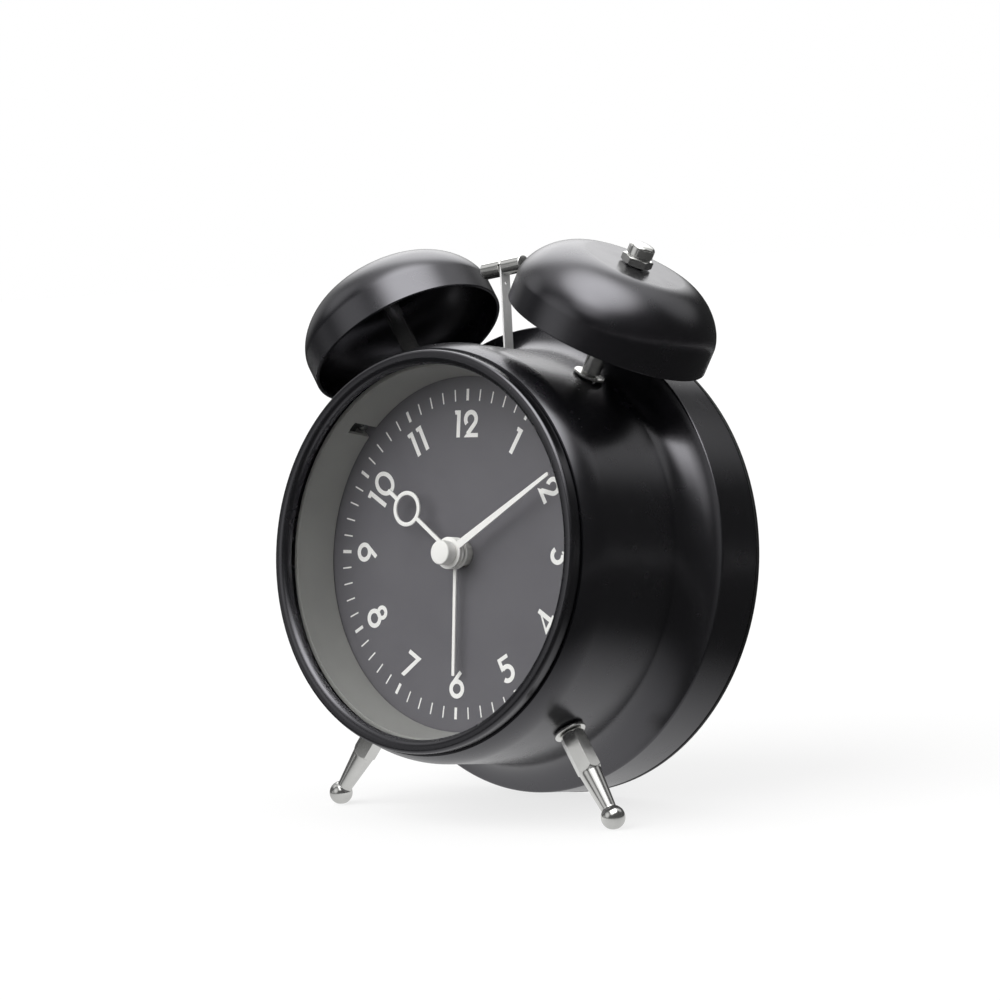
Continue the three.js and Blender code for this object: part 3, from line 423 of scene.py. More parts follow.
FINISHES = {
    "satin_black": satin_black(),
    "chrome": metal("polished chrome", (0.74, 0.74, 0.72), (0.82, 0.82, 0.80), 0.10, 0.17, 180,
                    metallic=0.93),
    "steel": metal("bare steel", (0.82, 0.82, 0.81), (0.88, 0.88, 0.87), 0.42, 0.5, 500, (6, 6, 1),
                   metallic=0.25),
    "brass": metal("brass", (0.55, 0.38, 0.13), (0.66, 0.47, 0.18), 0.2, 0.3),
    "hand_white": plastic("white paint", (0.92, 0.91, 0.89), (0.95, 0.94, 0.92), 0.3, 0.4),
    "white_plastic": plastic("white plastic", (0.74, 0.73, 0.70), (0.80, 0.79, 0.76), 0.35, 0.45),
    "dial_grey": plastic("dark grey dial", (0.120, 0.116, 0.129), (0.131, 0.127, 0.140), 0.5, 0.6),
    "black_plastic": plastic("black plastic", (0.011, 0.011, 0.012), (0.015, 0.015, 0.016), 0.42, 0.5),
    "grey_plastic": plastic("grey plastic", (0.13, 0.13, 0.135), (0.16, 0.16, 0.165), 0.4, 0.5),
    "surround_grey": plastic("grey surround", (0.34, 0.34, 0.325), (0.37, 0.37, 0.355), 0.32, 0.40),
    "glass": glass(),
    "clear_plastic": clear_plastic(),
    "circuit_board": board_green(),
    "copper": metal("enamelled copper wire", (0.45, 0.16, 0.06), (0.7, 0.3, 0.13), 0.2, 0.4, 900,
                    (9, 1, 1)),
    "cell_sleeve": plastic("printed cell sleeve", (0.02, 0.05, 0.13), (0.03, 0.07, 0.18), 0.25, 0.35),
}


def piece(obj, node, slot, body=None):
    """The object stands for a CAD node, on that node's body, with the finish of its slot.

    One that stands for no node rides the body that is given.
    """
    obj.data.materials.clear()
    obj.data.materials.append(FINISHES[slot].material)
    if node:
        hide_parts(node)
        body = frame["nodes"][node]["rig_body"]
    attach(obj, body)


# ---------------------------------------------------------------- bezel, glass and dial

BEZEL_INNER, BEZEL_OUTER, BEZEL_FRONT = 46.4, 49.9, -16.585
EDGE_IN, EDGE_OUT = 2, 1  # how far the bezel's front is rounded towards the glass and outwards
LIP_BACK, STEP_BACK, SKIRT_BACK = -13.85, -13.3, -7.45
GLASS_RADIUS, GLASS_FRONT, GLASS_BACK = 47.6, -13.6, -12.1
bezel_hole = GLASS_RADIUS + RUN
bezel = revolve("bezel_ring", soften([
    (BEZEL_INNER, LIP_BACK),
    *[(x, y, 0) for x, y in arc(BEZEL_INNER + EDGE_IN, BEZEL_FRONT + EDGE_IN, EDGE_IN, 180, 270, 14)],
    *[(x, y, 0) for x, y in arc(BEZEL_OUTER - EDGE_OUT, BEZEL_FRONT + EDGE_OUT, EDGE_OUT, 270, 360, 8)],
    (BEZEL_OUTER, STEP_BACK, 0.15),
    (bezel_hole + SHEET, STEP_BACK, 0.1),
    (bezel_hole + SHEET, SKIRT_BACK, 0.2),
    (bezel_hole, SKIRT_BACK, 0.2),
    (bezel_hole, LIP_BACK, 0),
], 0.1), segments=FINE_ROUND)
piece(shaded(bezel), "bezel", "satin_black")

pane = revolve("glass_pane", soften([
    (0, GLASS_FRONT), (GLASS_RADIUS, GLASS_FRONT), (GLASS_RADIUS, GLASS_BACK), (0, GLASS_BACK),
], 0.25))
piece(shaded(pane), "front_glass", "glass")

WALL_FRONT, WALL_REAR, WALL_THICK = 46.2, 44.6, 1.2  # radii of the surround's wall, and its thickness
WALL_FROM, FLANGE_FROM, WALL_TO = -11.8, -1.5, -0.3
DIAL_RADIUS, DIAL_HOLE, DIAL_THICK = 48.6, 3.6, 1
WINDOW_ANGLE = 313.75
surround = revolve("surround_ring", soften([
    (WALL_REAR, WALL_TO),
    (WALL_FRONT, WALL_FROM),
    (WALL_FRONT + WALL_THICK, WALL_FROM),
    (WALL_REAR + WALL_THICK, FLANGE_FROM),
    (DIAL_RADIUS, FLANGE_FROM),
    (DIAL_RADIUS, WALL_TO),
], 0.12), segments=FINE_ROUND)
cut(surround, block("tool", -1.75, 1.75, -7.5, 0.7, 40.6, 49.6, turned_y(WINDOW_ANGLE)))
piece(shaded(surround), "dial_surround", "surround_grey")

plate = revolve("dial_disc", soften([
    (DIAL_HOLE, 0), (DIAL_RADIUS, 0), (DIAL_RADIUS, DIAL_THICK), (DIAL_HOLE, DIAL_THICK),
], 0.12))
piece(shaded(plate), "dial_plate", "dial_grey")

LAMP, LAMP_FLANGE, LAMP_TIP, LAMP_BASE, LAMP_Y = 1.5, 1.9, 45.6, 50.4, -2.3
lamp = revolve("lamp_lens", soften([
    (0, LAMP_TIP),
    *[(x, y, 0) for x, y in arc(0, LAMP_TIP + LAMP, LAMP, -88, 0, 12)],
    (LAMP, LAMP_BASE - 1, 0.05),
    (LAMP_FLANGE, LAMP_BASE - 1),
    (LAMP_FLANGE, LAMP_BASE),
    (0, LAMP_BASE),
], 0.1), "Z", turned_y(WINDOW_ANGLE) @ Matrix.Translation((0, LAMP_Y, 0)), 40)
piece(shaded(lamp), "dial_lamp", "clear_plastic")

# ---------------------------------------------------------------- printing on the dial

STROKE = 1.17  # width of the numerals' lines


def ribbon(points, width, closed=False):
    """A line of points as quads of even width, mitred where it bends."""
    pts = [np.array(p, float) for p in points]
    count = len(pts)
    sides = []
    for i, p in enumerate(pts):
        before = pts[i - 1] if (closed or i) else None
        after = pts[(i + 1) % count] if (closed or i + 1 < count) else None
        ways = [v / np.linalg.norm(v) for v in (
            *([p - before] if before is not None else []),
            *([after - p] if after is not None else []),
        )]
        way = sum(ways) / np.linalg.norm(sum(ways))
        normal = np.array([-way[1], way[0]])
        grow = 1 / max(0.5, float(way @ ways[0]))
        sides.append((p + normal * width / 2 * grow, p - normal * width / 2 * grow))
    steps = range(count if closed else count - 1)
    return [
        [sides[i][0], sides[(i + 1) % count][0], sides[(i + 1) % count][1], sides[i][1]]
        for i in steps
    ]


def ring(x, y, rx, ry, width, n=48):
    """An oval line about (x, y)."""
    angles = np.linspace(0, 2 * math.pi, n, endpoint=False)
    return ribbon([(x + rx * math.cos(a), y + ry * math.sin(a)) for a in angles], width, True)


# Each numeral is a list of overlapping shapes, in millimetres round its own middle.


def one():
    return [[(-0.98, 3.17), (-0.83, 3.38), (0.98, 3.38), (0.98, -3.45), (-0.18, -3.45),
             (-0.18, 2.31), (-0.77, 2.31)]]


def two():
    bow = arc(0, 1.1, 1.76, 222, -40, 26)
    stem = [bow[-1], (-1.02, -2.65)]
    return (ribbon(bow, STROKE) + ribbon(stem, STROKE)
            + [[(-2.15, -3.45), (2.52, -3.45), (2.52, -2.4), (-0.3, -2.4), (-1.2, -2.4)]])


def three():
    return (ribbon(arc(0.02, -1.15, 1.7, 208, 458, 26), STROKE)
            + [[(-1.63, 2.35), (-1.63, 3.38), (1.95, 3.38), (1.4, 2.35)],
               [(1.95, 3.38), (0.55, 3.0), (-1.08, 0.4), (-0.75, 0.15), (-0.12, 0.75)]])


def four():
    return [
        [(0.68, 3.29), (1.85, 3.29), (1.85, -3.35), (0.68, -3.35)],
        [(-2.37, -2.0), (-2.37, -1.75), (-1.6, -1.1), (2.68, -1.1), (2.68, -2.0)],
        [(-2.37, -1.8), (1.55, 3.29), (1.85, 3.0), (0.75, 1.5), (-1.2, -1.2)],
    ]


def five():
    return (ribbon(arc(-0.18, -1.1, 1.78, 212, 482, 28), STROKE)
            + [[(-1.69, 3.45), (1.75, 3.45), (1.75, 2.45), (-1.69, 2.45)],
               [(-1.69, 3.45), (-0.7, 3.45), (-0.7, 0.45), (-1.2, 0.1), (-1.69, 0.0)]])


def six():
    end = arc(0.05, -1.15, 1.88, 140, 140, 0)[0]
    return ring(0.05, -1.15, 1.9, 1.84, 1.15) + ribbon([end, (1.2, 3.1)], 1.08)


def seven():
    return [
        [(-1.91, 3.29), (2.71, 3.29), (2.3, 2.22), (-1.91, 2.22)],
        [(2.71, 3.29), (-0.06, -3.57), (-1.29, -3.57), (1.14, 2.22), (1.5, 2.9)],
    ]


def eight():
    return ring(0.03, -1.22, 1.92, 1.84, 1.14) + ring(0.03, 1.8, 1.33, 1.3, 1.04)


def nine():
    return [[(-x, -y) for x, y in quad] for quad in six()]


def zero():
    return ring(0, 0, 2.34, 3.01, 1.13, 64)


def moved(shapes, x):
    return [[(p[0] + x, p[1]) for p in shape] for shape in shapes]


NUMERALS = {
    1: one(), 2: two(), 3: three(), 4: four(), 5: five(), 6: six(), 7: seven(), 8: eight(),
    9: nine(), 10: moved(one(), -3.47) + moved(zero(), 1.48),
    11: moved(one(), -1.66) + moved(one(), 1.54),
    12: moved(one(), -3.13) + moved(two(), 1.37),
}
INK_FRONT, INK_BACK = -0.05, -0.005
NUMERAL_CIRCLE = 32.64
UPSIDE_DOWN = range(4, 9)  # the hours whose numerals stand with their heads to the middle
TICK_FROM, TICK_TO, HOUR_TICK, MINUTE_TICK = 38.45, 41.4, 0.42, 0.185  # two radii, two half widths
marks = []
for hour, shapes in NUMERALS.items():
    a = math.radians(30 * hour)
    flip = -1 if hour in UPSIDE_DOWN else 1
    up = np.array([math.sin(a), math.cos(a)]) * flip
    side = np.array([up[1], -up[0]])
    middle = up * flip * NUMERAL_CIRCLE
    placed = [[middle + p[0] * side + p[1] * up for p in shape] for shape in shapes]
    marks.append(flat_piece("ink", placed, INK_FRONT, INK_BACK))
ticks = []
for minute in range(60):
    a = math.radians(6 * minute)
    half = HOUR_TICK if minute % 5 == 0 else MINUTE_TICK
    out, side = np.array([math.sin(a), math.cos(a)]), np.array([math.cos(a), -math.sin(a)])
    ticks.append([out * TICK_FROM - side * half, out * TICK_FROM + side * half,
                  out * TICK_TO + side * half, out * TICK_TO - side * half])
marks.append(flat_piece("dial_print", ticks, INK_FRONT, INK_BACK))
with bpy.context.temp_override(active_object=marks[-1], selected_editable_objects=marks):
    bpy.ops.object.join()
dial_print = bpy.data.objects["dial_print"]
piece(dial_print, None, "hand_white", body="case")

# ---------------------------------------------------------------- hands

HUB, HUB_IN = 4.0, 3.8  # radius of a hand's disc, and where its blade begins inside the disc
HAND_THICK = 0.4
HOUR_ANGLE, MINUTE_ANGLE, ALARM_ANGLE = 304.8, 58.1, 178.4
HOUR_RING_AT, HOUR_RING = 19.3, 4.0


def disc(r, n=72):
    """A round shape, begun at the top."""
    return [(r * math.sin(2 * math.pi * i / n), r * math.cos(2 * math.pi * i / n)) for i in range(n)]


def blade(z0, z1, w0, w1):
    """A straight blade with a slightly rounded tip."""
    middle = z1 - w1 / 4
    tip = [(x, middle + (y - middle) / 2) for x, y in arc(0, middle, w1 / 2, 0, 180, 8)]
    return [(-w0 / 2, z0), (w0 / 2, z0), *tip]


def hand(name, node, shapes, y, angle, hole):
    """A flat hand whose front is at y, turned to its angle, with a hole for its pipe."""
    made = flat_piece(name, shapes, y, y + HAND_THICK, turned_y(angle))
    cut(made, bore(hole, y - 1, y + 2, angle=angle))
    piece(shaded(made, 0.07), node, "hand_white")


hand("alarm_pointer", "alarm_hand", [disc(HUB), blade(HUB_IN, 30.6, 0.9, 0.9)], -2.6, ALARM_ANGLE, 3.35)
hand("hour_pointer", "hour_hand", [
    disc(HUB),
    blade(HUB_IN, HOUR_RING_AT - HOUR_RING, 1.0, 1.0),
    *ring(0, HOUR_RING_AT, HOUR_RING, HOUR_RING, 1.0, 64),
    blade(HOUR_RING_AT + HOUR_RING, 27.5, 1.0, 1.0),
], -4.0, HOUR_ANGLE, 2.25)
hand("minute_pointer", "minute_hand", [disc(HUB), blade(HUB_IN, 37.4, 2.0, 0.9)], -5.2, MINUTE_ANGLE, 1.25)

HAND_CAP, HAND_CAP_FRONT, HAND_CAP_BACK = 3.04, -8.35, -5.45
PIN_HOLE, PIN_HOLE_END = 1.25, -6.85
cap = revolve("pointer_cap", soften([
    (0, HAND_CAP_FRONT), (HAND_CAP, HAND_CAP_FRONT, 0.35), (HAND_CAP, HAND_CAP_BACK, 0.1),
    (PIN_HOLE, HAND_CAP_BACK), (PIN_HOLE, PIN_HOLE_END), (0, PIN_HOLE_END),
], 0.05), "Y", turned_y(MINUTE_ANGLE), 64)
piece(shaded(cap), "hand_cap", "hand_white")

# ---------------------------------------------------------------- case

SHOULDER_ROUND, SHOULDER_Y, SHOULDER_LONG = 15.0625, -5.5, 7.5
FLARE, FLARE_Y = 9.57, 19.5
FLARE_AXIS = BARREL + FLARE
BAND, BAND_BACK = 60.0, 42.4
CORNER = 0.6  # rounding between flare and band
SIDES = {"left": -1, "right": 1}
FOOT_ANGLE, FOOT_Y = 36.2, 7.3
BELL_ANGLE, BELL_Y, BELL_SKEW, BELL_LEAN = 31.25, 14.3, -3.0, 2.1
FEET = [standing(180 - side * FOOT_ANGLE, FOOT_Y) for side in SIDES.values()]
BELLS = [standing(side * BELL_ANGLE, BELL_Y, BELL_SKEW, BELL_LEAN) for side in SIDES.values()]
SCREW_ANGLES, SCREW_CIRCLE = (0, 120, 240), 54.5
HAMMER_X, HAMMER_Y, HAMMER_Z = 1.6, 14.4, 42.0


def shoulder(inset, n):
    """The rounded front of the case, or its inside when there is an inset."""
    r = SHOULDER_ROUND - inset
    low = -math.degrees(math.asin(SHOULDER_LONG / r))
    return arc(BARREL - SHOULDER_ROUND, SHOULDER_Y, r, low, 0, n)


def screw_holes():
    """What the rear screws' holes are cut with, in the case's lugs and in the cover."""
    return [bore(1.45, 29.4, 45, 0, SCREW_CIRCLE, angle) for angle in SCREW_ANGLES]


corner_axis = BAND - CORNER
corner_sweep = math.degrees(math.acos((FLARE_AXIS - corner_axis) / (FLARE + CORNER)))
corner_y = FLARE_Y + (FLARE + CORNER) * math.sin(math.radians(corner_sweep))
inner_sweep = math.degrees(math.acos((FLARE_AXIS - BAND + SHEET) / (FLARE + SHEET)))

shell = revolve("case_body", [
    *shoulder(0, 14),
    *arc(FLARE_AXIS, FLARE_Y, FLARE, 180, 180 - corner_sweep, 20),
    *arc(corner_axis, corner_y, CORNER, -corner_sweep, 0, 6)[1:],
    (BAND, BAND_BACK - 0.15), (BAND - 0.15, BAND_BACK),
    (BAND - SHEET, BAND_BACK),
    *reversed(arc(FLARE_AXIS, FLARE_Y, FLARE + SHEET, 180, 180 - inner_sweep, 10)),
    *reversed(shoulder(SHEET, 5)),
], segments=FINE_ROUND)
join(shell, *[block("lug", -4.5, 4.5, 36.8, 38.4, 51.5, 59.5, turned_y(angle)) for angle in SCREW_ANGLES])
cut(
    shell,
    *screw_holes(),
    *[peg(2.0, -3, 2, local) for local in BELLS],
    *[peg(1.8, -3, 2, local) for local in FEET],
    block("slot", -3.6, 4.6, HAMMER_Y - 2.45, HAMMER_Y + 2.45, 48.5, 55.5),
)
piece(shaded(shell, sharp=30), "case_shell", "satin_black")

# ---------------------------------------------------------------- feet

WASHER, WASHER_FROM, WASHER_TO = 4.1, 0.35, 1.05
SHAFT_FROM, SHAFT_END = 1.3, -4.2  # where the shaft's thick part begins, and its end inside the case
HEX_TO, HEX_TURN = 12.2, -78.5
FOOT_SHAFT, COLLAR, ANKLE = 1.5, 2.8, 1.93  # radii inside the case, below the hexagon, at the ball
BALL_AT, BALL = 25.2, 3.0


def hex_rod(flats, z0, z1, chamfer, local):
    """A hexagonal rod whose corners are turned down to a cone at both ends."""
    corner = flats / math.sqrt(3)
    rod = prism("tool", arc(0, 0, corner, HEX_TURN, HEX_TURN + 300, 5), z0, z1, local)
    low = flats / 2 - 0.02
    drop = (corner - low) * chamfer
    turned = revolve("tool", [
        (0, z0), (low, z0), (corner + 0.05, z0 + drop), (corner + 0.05, z1 - drop), (low, z1), (0, z1),
    ], "Z", local, 64)
    return combined(rod, "INTERSECT", [turned])


def washer(name, node, hole, local):
    """The flat ring between the case and what stands on it."""
    made = revolve(name, soften([
        (hole, WASHER_FROM), (WASHER, WASHER_FROM), (WASHER, WASHER_TO), (hole, WASHER_TO),
    ], 0.22), "Z", local, 56)
    piece(shaded(made), node, "chrome")


ball_meets = BALL_AT - math.sqrt(BALL**2 - 1.9**2)
for side, local in zip(SIDES, FEET):
    turned = revolve("foot_shaft_" + side, soften([
        (0, SHAFT_END), (FOOT_SHAFT, SHAFT_END, 0.2), (FOOT_SHAFT, SHAFT_FROM + 0.5, 0),
        (COLLAR - 0.1, SHAFT_FROM + 0.5, 0), (COLLAR - 0.1, HEX_TO - 0.3, 0), (COLLAR, HEX_TO - 0.1, 0),
        (COLLAR, HEX_TO + 0.5, 0.3),
        (ANKLE, ball_meets - 0.25, 0.3),
        *[(x, y, 0) for x, y in arc(0, BALL_AT, BALL, -49, 90, 26)][:-1],
        (0, BALL_AT + BALL),
    ], 0.1), "Z", local, 56)
    join(turned, hex_rod(5.716, SHAFT_FROM, HEX_TO, 1.5, local))
    piece(shaded(turned, 0.06, sharp=40, limit=38), "foot_" + side, "chrome")
    washer("foot_ring_" + side, "foot_washer_" + side, 1.75, local)

# ---------------------------------------------------------------- bells

# A bell's mouth and flat top are radii, its skirt a height, and the power is its shoulder's.
MOUTH, FLAT, SKIRT, POWER, WALL = 26.18, 13.0, 6.5, 1.7, 0.9
RIM = 12.0
BELL_TOP = RIM + 18.8
CAP_FROM = BELL_TOP + SEAT
CAP_FLATS, CAP_HEX, CAP_NECK = 7.0, 2.0, 0.4
CROWN_TOP = CAP_FROM + CAP_HEX + CAP_NECK + 3.2
# The cap nut's crown is a cylinder, a small round edge up to DOME_FROM degrees, and a flat dome.
CROWN, CROWN_EDGE, EDGE_DROP, DOME, DOME_FROM = 3.3, 0.985, 1.327, 9, 73.2
POST, POST_THIN, BELL_HOLE = 2.35, 1.9, 2.15


def bell_side(inset, n):
    """The bell's skirt and shoulder: a superellipse from the mouth to the flat top."""
    mouth, start = MOUTH - inset, RIM + SKIRT
    top, power = BELL_TOP - inset, 2 / POWER
    made = []
    for i in range(n + 1):
        a = math.pi / 2 * i / n
        r = FLAT + (mouth - FLAT) * math.cos(a) ** power
        made.append((r, start + (top - start) * math.sin(a) ** power, 0))
    return made


for side, local in zip(SIDES, BELLS):
    bell = revolve("bell_cup_" + side, soften([
        (MOUTH, RIM, 0.3),
        *bell_side(0, 40),
        (BELL_HOLE, BELL_TOP, 0.1), (BELL_HOLE, BELL_TOP - WALL, 0.1),
        *reversed(bell_side(WALL, 30)),
        (MOUTH - WALL, RIM, 0.3),
    ], 0.1), "Z", local, ROUND)
    piece(shaded(bell), "bell_" + side, "satin_black")
    post_step, post_end = BELL_TOP - WALL - SEAT, CROWN_TOP - 1.8
    post = revolve("post_rod_" + side, soften([
        (0, SHAFT_END), (1.7, SHAFT_END, 0.2), (1.7, SHAFT_FROM), (POST, SHAFT_FROM, 0.15),
        (POST, post_step), (POST_THIN, post_step), (POST_THIN, post_end), (0, post_end),
    ], 0.1), "Z", local, 48)
    piece(shaded(post), "bell_post_" + side, "chrome")
    washer("post_ring_" + side, "post_washer_" + side, 1.95, local)
    neck = CAP_FROM + CAP_HEX + CAP_NECK
    crown = revolve("acorn_" + side, soften([
        (0, CAP_FROM + 0.3), (3.0, CAP_FROM + 0.3, 0), (3.0, neck, 0), (CROWN, neck, 0.1),
        *[(x, y, 0) for x, y in arc(CROWN - CROWN_EDGE, CROWN_TOP - EDGE_DROP, CROWN_EDGE, 0, DOME_FROM, 8)],
        *[(x, y, 0) for x, y in arc(0, CROWN_TOP - DOME, DOME, DOME_FROM, 90, 6)][1:],
    ], 0.05), "Z", local, 56)
    join(crown, hex_rod(CAP_FLATS, CAP_FROM, CAP_FROM + CAP_HEX, 0.5, local))
    cut(crown, peg(BELL_HOLE, CAP_FROM - 1, CROWN_TOP - 1.5, local))
    piece(shaded(crown, 0.05, sharp=40, limit=38), "cap_nut_" + side, "chrome")

# ---------------------------------------------------------------- striker

HAMMER_LEAN = 6.66  # degrees to the left of upright, at rest
REACH, HEAD, HEAD_LONG = 31.9, 2.2, 13.1
GROOVE = 0.25  # depth and half width of the groove round the head's middle
STRIP_THICK, STRIP_WIDE, STRIP_FROM, STRIP_HOLE_AT = 0.5, 3.3, 2.4, 27.8
hammer = (Matrix.Translation((HAMMER_X, HAMMER_Y, HAMMER_Z))
          @ Matrix.Rotation(-math.radians(HAMMER_LEAN), 4, "Y"))
end = HEAD_LONG / 2
head = revolve("striker_head", soften([
    (0, -end), (HEAD, -end, 0.35), (HEAD, -GROOVE, 0.08), (HEAD - GROOVE, -GROOVE, 0.05),
    (HEAD - GROOVE, GROOVE, 0.05), (HEAD, GROOVE, 0.08), (HEAD, end, 0.35), (0, end),
], 0.1), "X", hammer @ Matrix.Translation((0, 0, REACH)), 64)
cut(head, block("tool", -0.5, 0.5, -3.2, 3.2, REACH - 3, REACH + 0.65, hammer))
piece(shaded(head), "hammer_head", "chrome")

strip = block("striker_strip", -STRIP_THICK / 2, STRIP_THICK / 2, -STRIP_WIDE / 2, STRIP_WIDE / 2,
              STRIP_FROM, REACH + 0.4, hammer)
cut(strip, revolve("tool", [(0, -1), (0.4, -1), (0.4, 1), (0, 1)], "X",
                   hammer @ Matrix.Translation((0, 0, STRIP_HOLE_AT)), 24))
piece(shaded(strip, 0.06), "hammer_arm", "steel")

# ---------------------------------------------------------------- back of the clock

COVER_BACK, COVER_FRONT = 43.9, 41.4
LIP, LIP_IN, RIM_EDGE = 58.6, 57.4, 60.1  # radii of the cover's lip and of its edge behind the band
WALLS = 1.2  # thickness of the lip, the edge and the battery box
BOX_X, BOX_FRONT, BOX_LOW, BOX_HIGH = 27.45, 27.2, -43.0, -13.0
HINGE_Y, HINGE_Z = 43.0, BOX_LOW + RUN + 0.9
HINGE_PIN, PIN_END = 0.35, 28.15
KNOBS = {"time_set_knob": 16.0, "alarm_set_knob": -19.2}
KNOB, KNOB_LONG, KNOB_HUB, FLUTES, FLUTE, KNOB_EDGE = 6.5, 5.0, 3.0, 12, 0.35, 0.9
BUTTON, BUTTON_Z = 4.0, 34.5
SWITCH_X, SWITCH_Z = -2.0, 23.0
BOARD_POSTS = ((-11.5, 19.0), (11.5, 38.5))

cover = revolve("cover_disc", soften([
    (0, COVER_FRONT), (LIP_IN, COVER_FRONT), (LIP_IN, COVER_FRONT - 2.4, 0.2),
    (LIP, COVER_FRONT - 2.4, 0.3), (LIP, COVER_BACK - WALLS), (RIM_EDGE, COVER_BACK - WALLS, 0.2),
    (RIM_EDGE, COVER_BACK, 0.5), (0, COVER_BACK),
], 0.1), "Y", segments=FINE_ROUND)
through = (COVER_FRONT - 1, COVER_BACK + 1)
join(
    cover,
    block("box", -BOX_X - WALLS, BOX_X + WALLS, BOX_FRONT - WALLS, COVER_FRONT + 1,
          BOX_LOW - WALLS, BOX_HIGH + WALLS),
    *[bore(1.8, 35.45, COVER_FRONT + 1, x, z) for x, z in BOARD_POSTS],
)
cut(
    cover,
    block("box", -BOX_X, BOX_X, BOX_FRONT, COVER_BACK + 1, BOX_LOW, BOX_HIGH),
    revolve("pin", [(0, -28.45), (0.6, -28.45), (0.6, 28.45), (0, 28.45)], "X",
            Matrix.Translation((0, HINGE_Y, HINGE_Z)), 24),
    *[bore(KNOB_HUB + RUN, *through, x) for x in KNOBS.values()],
    bore(BUTTON + RUN, *through, 0, BUTTON_Z),
    block("slot", -4.5, 4.5, *through, 21.1, 24.9),
    *screw_holes(),
)
piece(shaded(cover, 0.12, limit=50), "rear_cover", "black_plastic")


def knob(node, x):
    """A fluted knob whose rear edge is rounded, on a hub that turns in the cover."""
    low, high = COVER_BACK + RUN, COVER_BACK + RUN + KNOB_LONG
    count = FLUTES * 16
    levels = [(low, 0.15), (low + 0.15, 0.0), (high - KNOB_EDGE, 0.0)]
    levels += [(high - KNOB_EDGE + KNOB_EDGE * math.sin(a), KNOB_EDGE * (1 - math.cos(a)))
               for a in np.linspace(0.3, math.pi / 2, 6)]
    verts, faces = [], []
    for y, inset in levels:
        for i in range(count):
            a = 2 * math.pi * i / count
            land = max(0.0, math.cos(FLUTES * a)) ** 0.35
            r = KNOB - FLUTE + FLUTE * land - inset
            verts.append((r * math.sin(a), y, r * math.cos(a)))
    for k in range(len(levels) - 1):
        for i in range(count):
            m = (i + 1) % count
            faces.append((k * count + i, k * count + m, (k + 1) * count + m, (k + 1) * count + i))
    faces.append(tuple(range(count)))
    faces.append(tuple(range((len(levels) - 1) * count, len(levels) * count)))
    local = Matrix.Translation((x, 0, 0))
    made = mesh_object(node + "_fluted", verts, faces, local)
    join(made, bore(KNOB_HUB, COVER_FRONT - 1, low + 1, x, segments=48))
    cut(
        made,
        bore(1.45, COVER_FRONT - 2, COVER_BACK + 2.9, x),
        revolve("tool", soften([(0, high - 0.4), (4.4, high - 0.4, 0.3), (4.4, high + 1), (0, high + 1)], 0),
                "Y", local, 64),
    )
    piece(shaded(made, sharp=40), node, "black_plastic")


for node, x in KNOBS.items():
    knob(node, x)

door_x = BOX_X - RUN
door = block("door_leaf", -door_x, door_x, COVER_BACK - 1.8, COVER_BACK, HINGE_Z, BOX_HIGH - RUN)
edge_x, edge = door_x - 0.02, 0.88  # the rounded edge stops just short of the leaf's ends
join(door, revolve("edge", [
    (0, -PIN_END), (HINGE_PIN, -PIN_END), (HINGE_PIN, -edge_x), (edge, -edge_x),
    (edge, edge_x), (HINGE_PIN, edge_x), (HINGE_PIN, PIN_END), (0, PIN_END),
], "X", Matrix.Translation((0, HINGE_Y, HINGE_Z)), 40))
piece(shaded(door, 0.15, 3, limit=50), "battery_door", "black_plastic")

CELL, CELL_END, CELL_Y, NUB, NUB_RISE = 7.1, 25.25, 34.7, 2.75, 1.3
for level, z, turn_by in (("upper", -20.5, 0), ("lower", -35.5, 180)):
    cell = revolve("cell_" + level, soften([
        (0, -CELL_END), (CELL, -CELL_END, 0.5), (CELL, CELL_END - NUB_RISE, 0.6),
        (NUB, CELL_END - NUB_RISE, 0.1), (NUB, CELL_END, 0.5), (0, CELL_END),
    ], 0.1), "X", Matrix.Translation((0, CELL_Y, z)) @ Matrix.Rotation(math.radians(turn_by), 4, "Z"), 64)
    piece(shaded(cell), "battery_" + level, "cell_sleeve")

switch_at = Matrix.Translation((SWITCH_X, 0, SWITCH_Z))
grip = block("switch_grip", -2.2, 2.2, 40.4, COVER_BACK + 1.6, -1.6, 1.6, switch_at)
join(
    grip,
    block("foot", -7.5, 7.5, 40.2, 41.1, -3.0, 3.0, switch_at),
    block("prong", -0.8, 0.8, 38.6, 40.4, -0.8, 0.8, switch_at),
)
cut(grip, *[
    block("rib", x - 0.2, x + 0.2, COVER_BACK + 1.2, COVER_BACK + 2, -2, 2, switch_at)
    for x in (-1.2, -0.4, 0.4, 1.2)
])
piece(shaded(grip, 0.08, limit=50), "alarm_switch", "grey_plastic")

button = revolve("button_cap", soften([
    (0, 40.2), (5.2, 40.2), (5.2, 41.1), (BUTTON, 41.1, 0), (BUTTON, COVER_BACK + 2.2, 0.7),
    (2.6, COVER_BACK + 2.2, 1.5), (1.2, COVER_BACK + 2.0, 1.5), (0, COVER_BACK + 1.95),
], 0.1), "Y", Matrix.Translation((0, 0, BUTTON_Z)), 64)
piece(shaded(button), "light_button", "grey_plastic")

